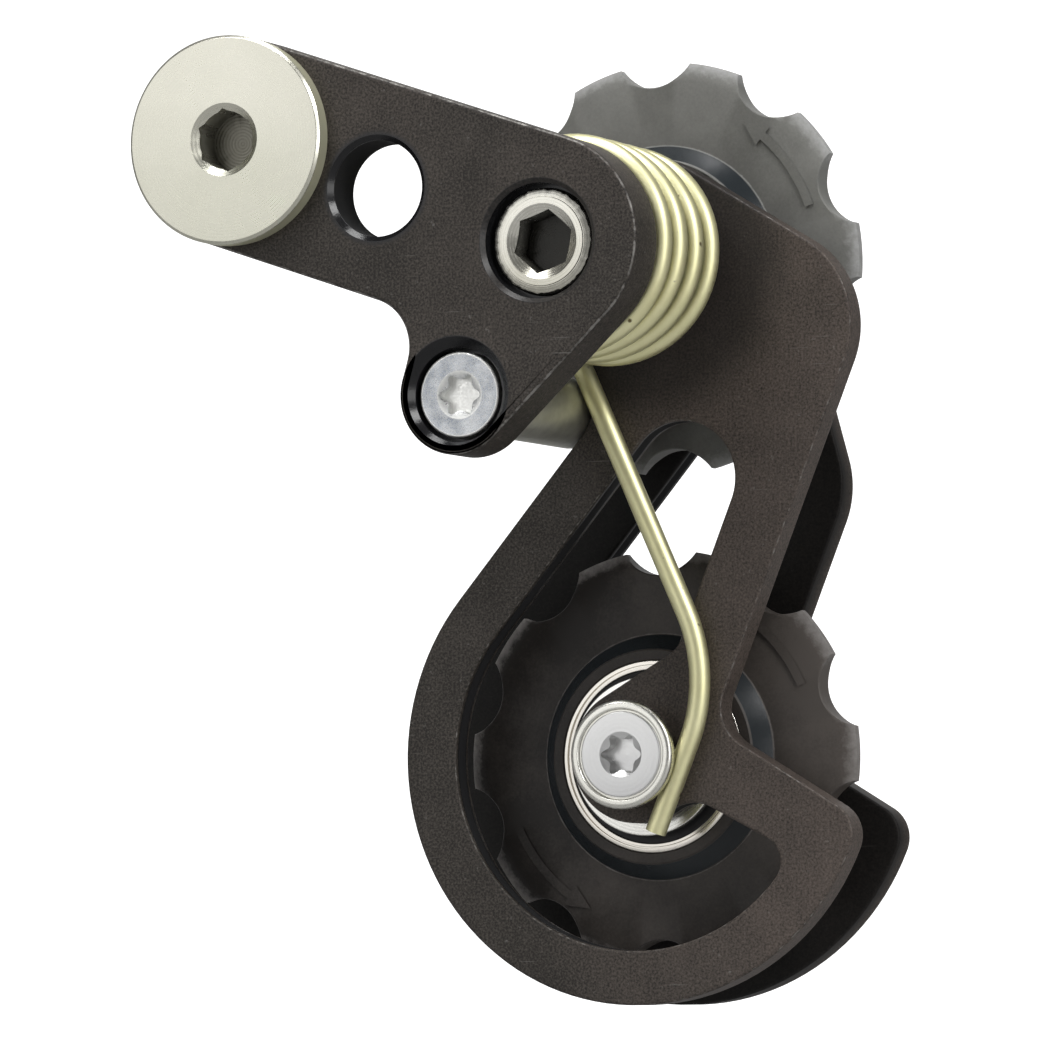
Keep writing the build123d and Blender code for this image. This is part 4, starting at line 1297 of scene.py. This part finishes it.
# pulleys: ten teeth with sloped tips, raised conical hub
pulley = {
    "teeth": 10,
    "pitch": 12.7,
    "seatR": 3.95,
    "drop": 1.65,
    "thick": 2.4,
    "slopeRun": 1.7,
    "slope": 0.42,
    "edge": 0.10,
    "flankSteps": 10,
    "tipSteps": 4,
    "boreEdge": (0.12, 0.08),
    "hubR": 9.75,
    "hubEdge": 0.1,
    "hubEdgeDrops": (0.08, 0.2),
    "hubRub": 0.5,
    "coneTop": 0.08,
    "coneR": 11.2,
    "coneFoot": (0.12, 0.1),
    "coneRub": 0.8,
    "coneFade": 0.2,
}
pitchR = pulley["pitch"] / (2 * sin(pi / pulley["teeth"]))
tipR = pitchR - pulley["drop"]


def toothRadius(angle):  # outside of one tooth, the angle taken from its middle
    off = radians(180 / pulley["teeth"] - abs(angle))
    inside = pulley["seatR"] ** 2 - (pitchR * sin(off)) ** 2
    return min(tipR, pitchR * cos(off) - sqrt(inside)) if inside > 0 else tipR


def toothAngles():  # closer together where the seat turns up to the tip
    half, steps = 180 / pulley["teeth"], pulley["flankSteps"]
    reach = (pitchR**2 + tipR**2 - pulley["seatR"] ** 2) / (2 * pitchR * tipR)
    corner = half - degrees(atan2(sqrt(1 - reach**2), reach))
    right = [half - (half - corner) * sin(pi / 2 * i / steps) for i in range(steps + 1)]
    right += [corner * (1 - i / pulley["tipSteps"]) for i in range(1, pulley["tipSteps"])]
    return [-a for a in right] + [0.0] + right[::-1]


def repeated(source, name, axis, count, shade):
    place = Vector((axis.x * mm, 0, axis.y * mm))
    return grown(source, arrayTree, name, **{"Count": count, "Axis Place": place, "Material": shade})


def makePulley(wheel, axis, phase, bearingR, shade):
    front, back = depthsOf(f"{wheel}_pulley")
    middle = (front + back) / 2
    creaseR = tipR - pulley["slopeRun"]
    edge, hubR, coneR = pulley["edge"], pulley["hubR"], pulley["coneR"]
    toothFront = middle - pulley["thick"] / 2
    boreDrop, boreWide = pulley["boreEdge"]
    edgeDrop, coneDrop = pulley["hubEdgeDrops"]
    footRise, footIn = pulley["coneFoot"]
    hub = [
        (front + boreDrop, bearingR, 0.0),
        (front, bearingR + boreWide, 0.0),
        (front, hubR - pulley["hubEdge"], 0.0),
        (front + edgeDrop, hubR, pulley["hubRub"]),
        (front + coneDrop, hubR + pulley["coneTop"], glossy),
        (toothFront - footRise, coneR - footIn, glossy),
        (toothFront, coneR, pulley["coneRub"]),
        (toothFront, coneR + pulley["coneFade"], 0.0),
    ]
    slopeY = lambda r: toothFront + max(0, r - creaseR) * pulley["slope"]
    mesh = newMesh()
    columns = []
    for angle in toothAngles():
        outR = toothRadius(angle)
        rub = max(0.0, min(1.0, (outR - creaseR) / pulley["slopeRun"]))
        side = hub + [(toothFront, min(outR - 3 * edge, creaseR), 0.0)]
        side += [(slopeY(outR - edge), outR - edge, rub), (slopeY(outR - edge) + edge, outR, rub)]
        side += [(2 * middle - y, r, wear) for y, r, wear in side[::-1]]
        way = unit(phase + angle)
        columns.append([dot(mesh, axis + way * r, y, wear) for y, r, wear in side])
    for columnA, columnB in zip(columns, columns[1:]):
        bridge(mesh, columnA, columnB)
    bmesh.ops.recalc_face_normals(mesh, faces=mesh.faces)
    source = linked("tooth", dataOf("tooth", mesh))
    piece = repeated(source, f"{wheel}Pulley", axis, pulley["teeth"], shade)
    placed(piece, f"{wheel}_wheel", f"{wheel}_pulley_plastic", f"{wheel}_pulley")
    return toothFront


# plain moulded arrows on the front of each pulley
arrow = {
    "count": 2,
    "r": 15.3,
    "sweep": 30.0,
    "width": 0.6,
    "head": 0.95,
    "headLength": 2.2,
    "rise": 0.2,
    "slope": 0.1,
    "wall": 0.6,
    "sunk": 0.2,
    "rub": 0.2,
}


def makeArrows(wheel, axis, phase, toothFront, shade):
    r, half, barb, rise = arrow["r"], arrow["width"] / 2, arrow["head"], arrow["rise"]
    tail, neck = unit(phase), unit(phase + arrow["sweep"])
    point = unit(phase + arrow["sweep"] + degrees(arrow["headLength"] * barb / r))
    outline = [axis + neck * (r - barb), axis + point * r, axis + neck * (r + barb)]
    outline += arc(axis, r + half, axis + tail, axis + neck)[::-1]
    outline += arc(axis, r - half, axis + tail, axis + neck)
    rows = [(arrow["slope"], toothFront - rise, arrow["rub"])]
    rows += [(0, toothFront - rise * arrow["wall"], arrow["rub"]), (0, toothFront + arrow["sunk"], 0.0)]
    source = platePiece(f"{wheel}Arrow", [(outline, rows)], shade)
    piece = repeated(source, f"{wheel}Arrows", axis, arrow["count"], shade)
    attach(piece, f"{wheel}_wheel")


# sealed bearings: a grooved outer race and a rubber seal on each side
bearing = {
    "land": {"upper": 1.2, "lower": 1.65},
    "ledge": 0.8,
    "ledgeEdge": 0.08,
    "edges": (0.15, 0.25),
    "groove": (0.38, 0.42, 0.54, 0.58),
    "grooveDepth": 0.22,
    "inset": 0.1,
    "seal": 0.5,
    "sealPlay": 0.01,
    "sealEdge": 0.1,
    "sealStep": 0.12,
    "sealStepRun": 0.1,
    "lipGap": 0.08,
    "lipDrop": 0.2,
    "lipWidth": 0.35,
}


def makeBearing(wheel, axis, bearingR, innerR):
    front, back = depthsOf(f"{wheel}_outer_race")
    landR = bearingR - bearing["land"][wheel]
    sealR = landR + bearing["ledge"]
    inset, seal = bearing["inset"], bearing["seal"]
    floor = inset + seal
    frontEdge, backEdge = bearing["edges"]
    grooveR = [bearingR - off for off in bearing["groove"]]
    grooveFloor = front + bearing["grooveDepth"]
    rows = softened(
        (front, sealR, bearing["ledgeEdge"]),
        (front + floor, sealR),
        (front + floor, landR),
        (back - floor, landR),
        (back - floor, sealR),
        (back, sealR, bearing["ledgeEdge"]),
        (back, bearingR, backEdge),
        (front, bearingR, frontEdge),
        (front, grooveR[0]),
        (grooveFloor, grooveR[1]),
        (grooveFloor, grooveR[2]),
        (front, grooveR[3]),
    )
    piece = turnedPiece(f"{wheel}OuterRace", axis, rows, raceSteel, closed=True)
    placed(piece, f"{wheel}_wheel", "bearing_steel", f"{wheel}_outer_race")

    lip, rimR = innerR + bearing["lipGap"], sealR - bearing["sealPlay"]
    middle, run = (lip + sealR) / 2, bearing["sealStepRun"]
    joined = bmesh.new()
    for way, face in ((1, front + inset), (-1, back - inset)):
        step = face + way * bearing["sealStep"]
        rows = softened(
            (face + way * seal, lip),
            (face + way * bearing["lipDrop"], lip),
            (step, lip + bearing["lipWidth"], bearing["sealEdge"]),
            (step, middle - run),
            (face, middle + run),
            (face, rimR, bearing["sealEdge"]),
            (face + way * seal, rimR),
        )
        side = turnedPiece(f"{wheel}Seal", axis, rows, sealRubber, closed=True)
        joined.from_mesh(side.data)
        bpy.data.objects.remove(side)
    piece = finished(f"{wheel}Seals", joined, sealRubber)
    placed(piece, f"{wheel}_wheel", "seal_rubber", f"{wheel}_seals")


wheels = {
    "upper": {"axis": pivot, "phase": 3.2, "arrowFrom": 20.0, "bearingR": 9.5, "innerR": 6.54},
    "lower": {"axis": lower, "phase": 0.5, "arrowFrom": 205.0, "bearingR": 8.75, "innerR": 4.91},
}
shades = {"upper": upperPlastic, "lower": lowerPlastic}
for wheel, facts in wheels.items():
    toothFace = makePulley(wheel, facts["axis"], facts["phase"], facts["bearingR"], shades[wheel])
    makeArrows(wheel, facts["axis"], facts["arrowFrom"], toothFace, shades[wheel])
    makeBearing(wheel, facts["axis"], facts["bearingR"], facts["innerR"])
print("pulleys and bearings done")

# carried-over nodes keep their shape and take a finish
finishes = {
    "bolt_clip": clipSteel,
    "spring_guide": guidePlastic,
    "front_thrust_washer": guidePlastic,
    "back_thrust_washer": guidePlastic,
    "end_washer": axleSteel,
    "cage_sleeve": axleSteel,
    "lower_axle_sleeve": axleSteel,
    "upper_inner_race": steel,
    "lower_inner_race": steel,
    "upper_balls": steel,
    "lower_balls": steel,
    "upper_retainer": nylon,
    "lower_retainer": nylon,
}
for node, finish in finishes.items():
    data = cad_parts[node].data
    data.materials.clear()
    data.materials.append(finish)

# stage: a wide pale floor that turns up into a wall, which is white behind the object as the photo shows it
stage = {
    "floor": -0.16,
    "flat": 1.7,
    "sweep": 0.7,
    "sweepSteps": 12,
    "wall": 1.6,
    "sides": 64,
    "grey": rgb(0.30, 0.30, 0.30),
    "rough": 0.9,
    "white": rgb(1.0, 1.0, 1.0),
    "whiteWay": Vector((-0.402, 0.915, 0.0)),
    "whiteFacing": (0.80, 0.93),
    "whiteReach": (1.3, 1.9),
    "dim": rgb(0.06, 0.06, 0.06),
    "glow": 1.15,
}


def stageGrey(sheet, where):
    level = sheet.node("ShaderNodeVectorMath", {"operation": "MULTIPLY"}, {0: where, 1: (1, 1, 0)})
    way = sheet.node("ShaderNodeVectorMath", {"operation": "NORMALIZE"}, {0: level})
    sockets = {0: way, 1: stage["whiteWay"]}
    facing = sheet.node("ShaderNodeVectorMath", {"operation": "DOT_PRODUCT"}, sockets, out="Value")
    white = sheet.ramp(facing, *stage["whiteFacing"]) * sheet.ramp(sheet.length(level), *stage["whiteReach"])
    return {"Emission Color": sheet.blend(white, stage["dim"], stage["white"])}


def makeStage():
    mesh = newMesh()
    flat, floor, sweep = stage["flat"], stage["floor"], stage["sweep"]
    profile = [(0.0, floor), (flat, floor)]
    for i in range(1, stage["sweepSteps"] + 1):
        lean = pi / 2 * i / stage["sweepSteps"]
        profile.append((flat + sweep * sin(lean), floor + sweep * (1 - cos(lean))))
    profile.append((profile[-1][0], stage["wall"]))
    ways = [unit(360 * i / stage["sides"]) for i in range(stage["sides"])]
    rings = [[mesh.verts.new((r * way.x, r * way.y, z)) for way in ways] for r, z in profile]
    for ringA, ringB in zip(rings, rings[1:]):
        bridge(mesh, ringA, ringB)
    fixed = {"Base Color": stage["grey"], "Roughness": stage["rough"], "Emission Strength": stage["glow"]}
    finished("stageFloor", mesh, material("stageGrey", stageGrey, **fixed))


makeStage()

# soft studio light: a screen in front on the left, a key above it, one overhead, two on the right
lights = {
    "screen": {"place": (-0.72, -1.45, 0.28), "size": 1.00, "radiance": 1.15},
    "key": {"place": (-0.45, -0.75, 1.25), "size": 0.70, "radiance": 8.0},
    "overhead": {"place": (0.08, -0.15, 1.40), "size": 0.50, "radiance": 11.0},
    "window": {"place": (1.17, -0.52, 0.85), "size": 0.45, "radiance": 14.0},
    "side": {"place": (1.30, -0.60, 0.00), "size": 0.60, "radiance": 4.0},
}
surround = {"Color": rgb(1.0, 1.0, 1.0), "Strength": 0.22}


def facingWay(way):
    return way.to_track_quat("-Z", "Y").to_euler()


target = Vector((pivot.x, 0, (pivot.y + lower.y) / 2)) * mm
for name, facts in lights.items():
    lamp = bpy.data.lights.new(name, "AREA")
    lamp.size = facts["size"]
    lamp.energy = facts["radiance"] * pi * facts["size"] ** 2
    holder = linked(name, lamp)
    holder.location = facts["place"]
    holder.rotation_euler = facingWay(target - holder.location)
world = bpy.data.worlds.new("studio")
world.use_nodes = True
for socket, value in surround.items():
    world.node_tree.nodes["Background"].inputs[socket].default_value = value
scene.world = world
scene.view_settings.view_transform = "Standard"

# camera, fitted to the circles in the photograph
view = {
    "place": Vector((0.29219, -0.60535, -0.07429)),
    "yaw": 23.73,
    "tilt": 3.45,
    "lens": 258.62,
    "sensor": 36.0,
    "near": 0.01,
}
lens = bpy.data.cameras.new("camera")
lens.lens = view["lens"]
lens.sensor_width = view["sensor"]
lens.clip_start = view["near"]
camera = linked("camera", lens)
camera.location = view["place"]
yaw, tilt = radians(view["yaw"]), radians(view["tilt"])
camera.rotation_euler = facingWay(Vector((-sin(yaw) * cos(tilt), cos(yaw) * cos(tilt), sin(tilt))))
scene.camera = camera
print("stage, light and camera done")
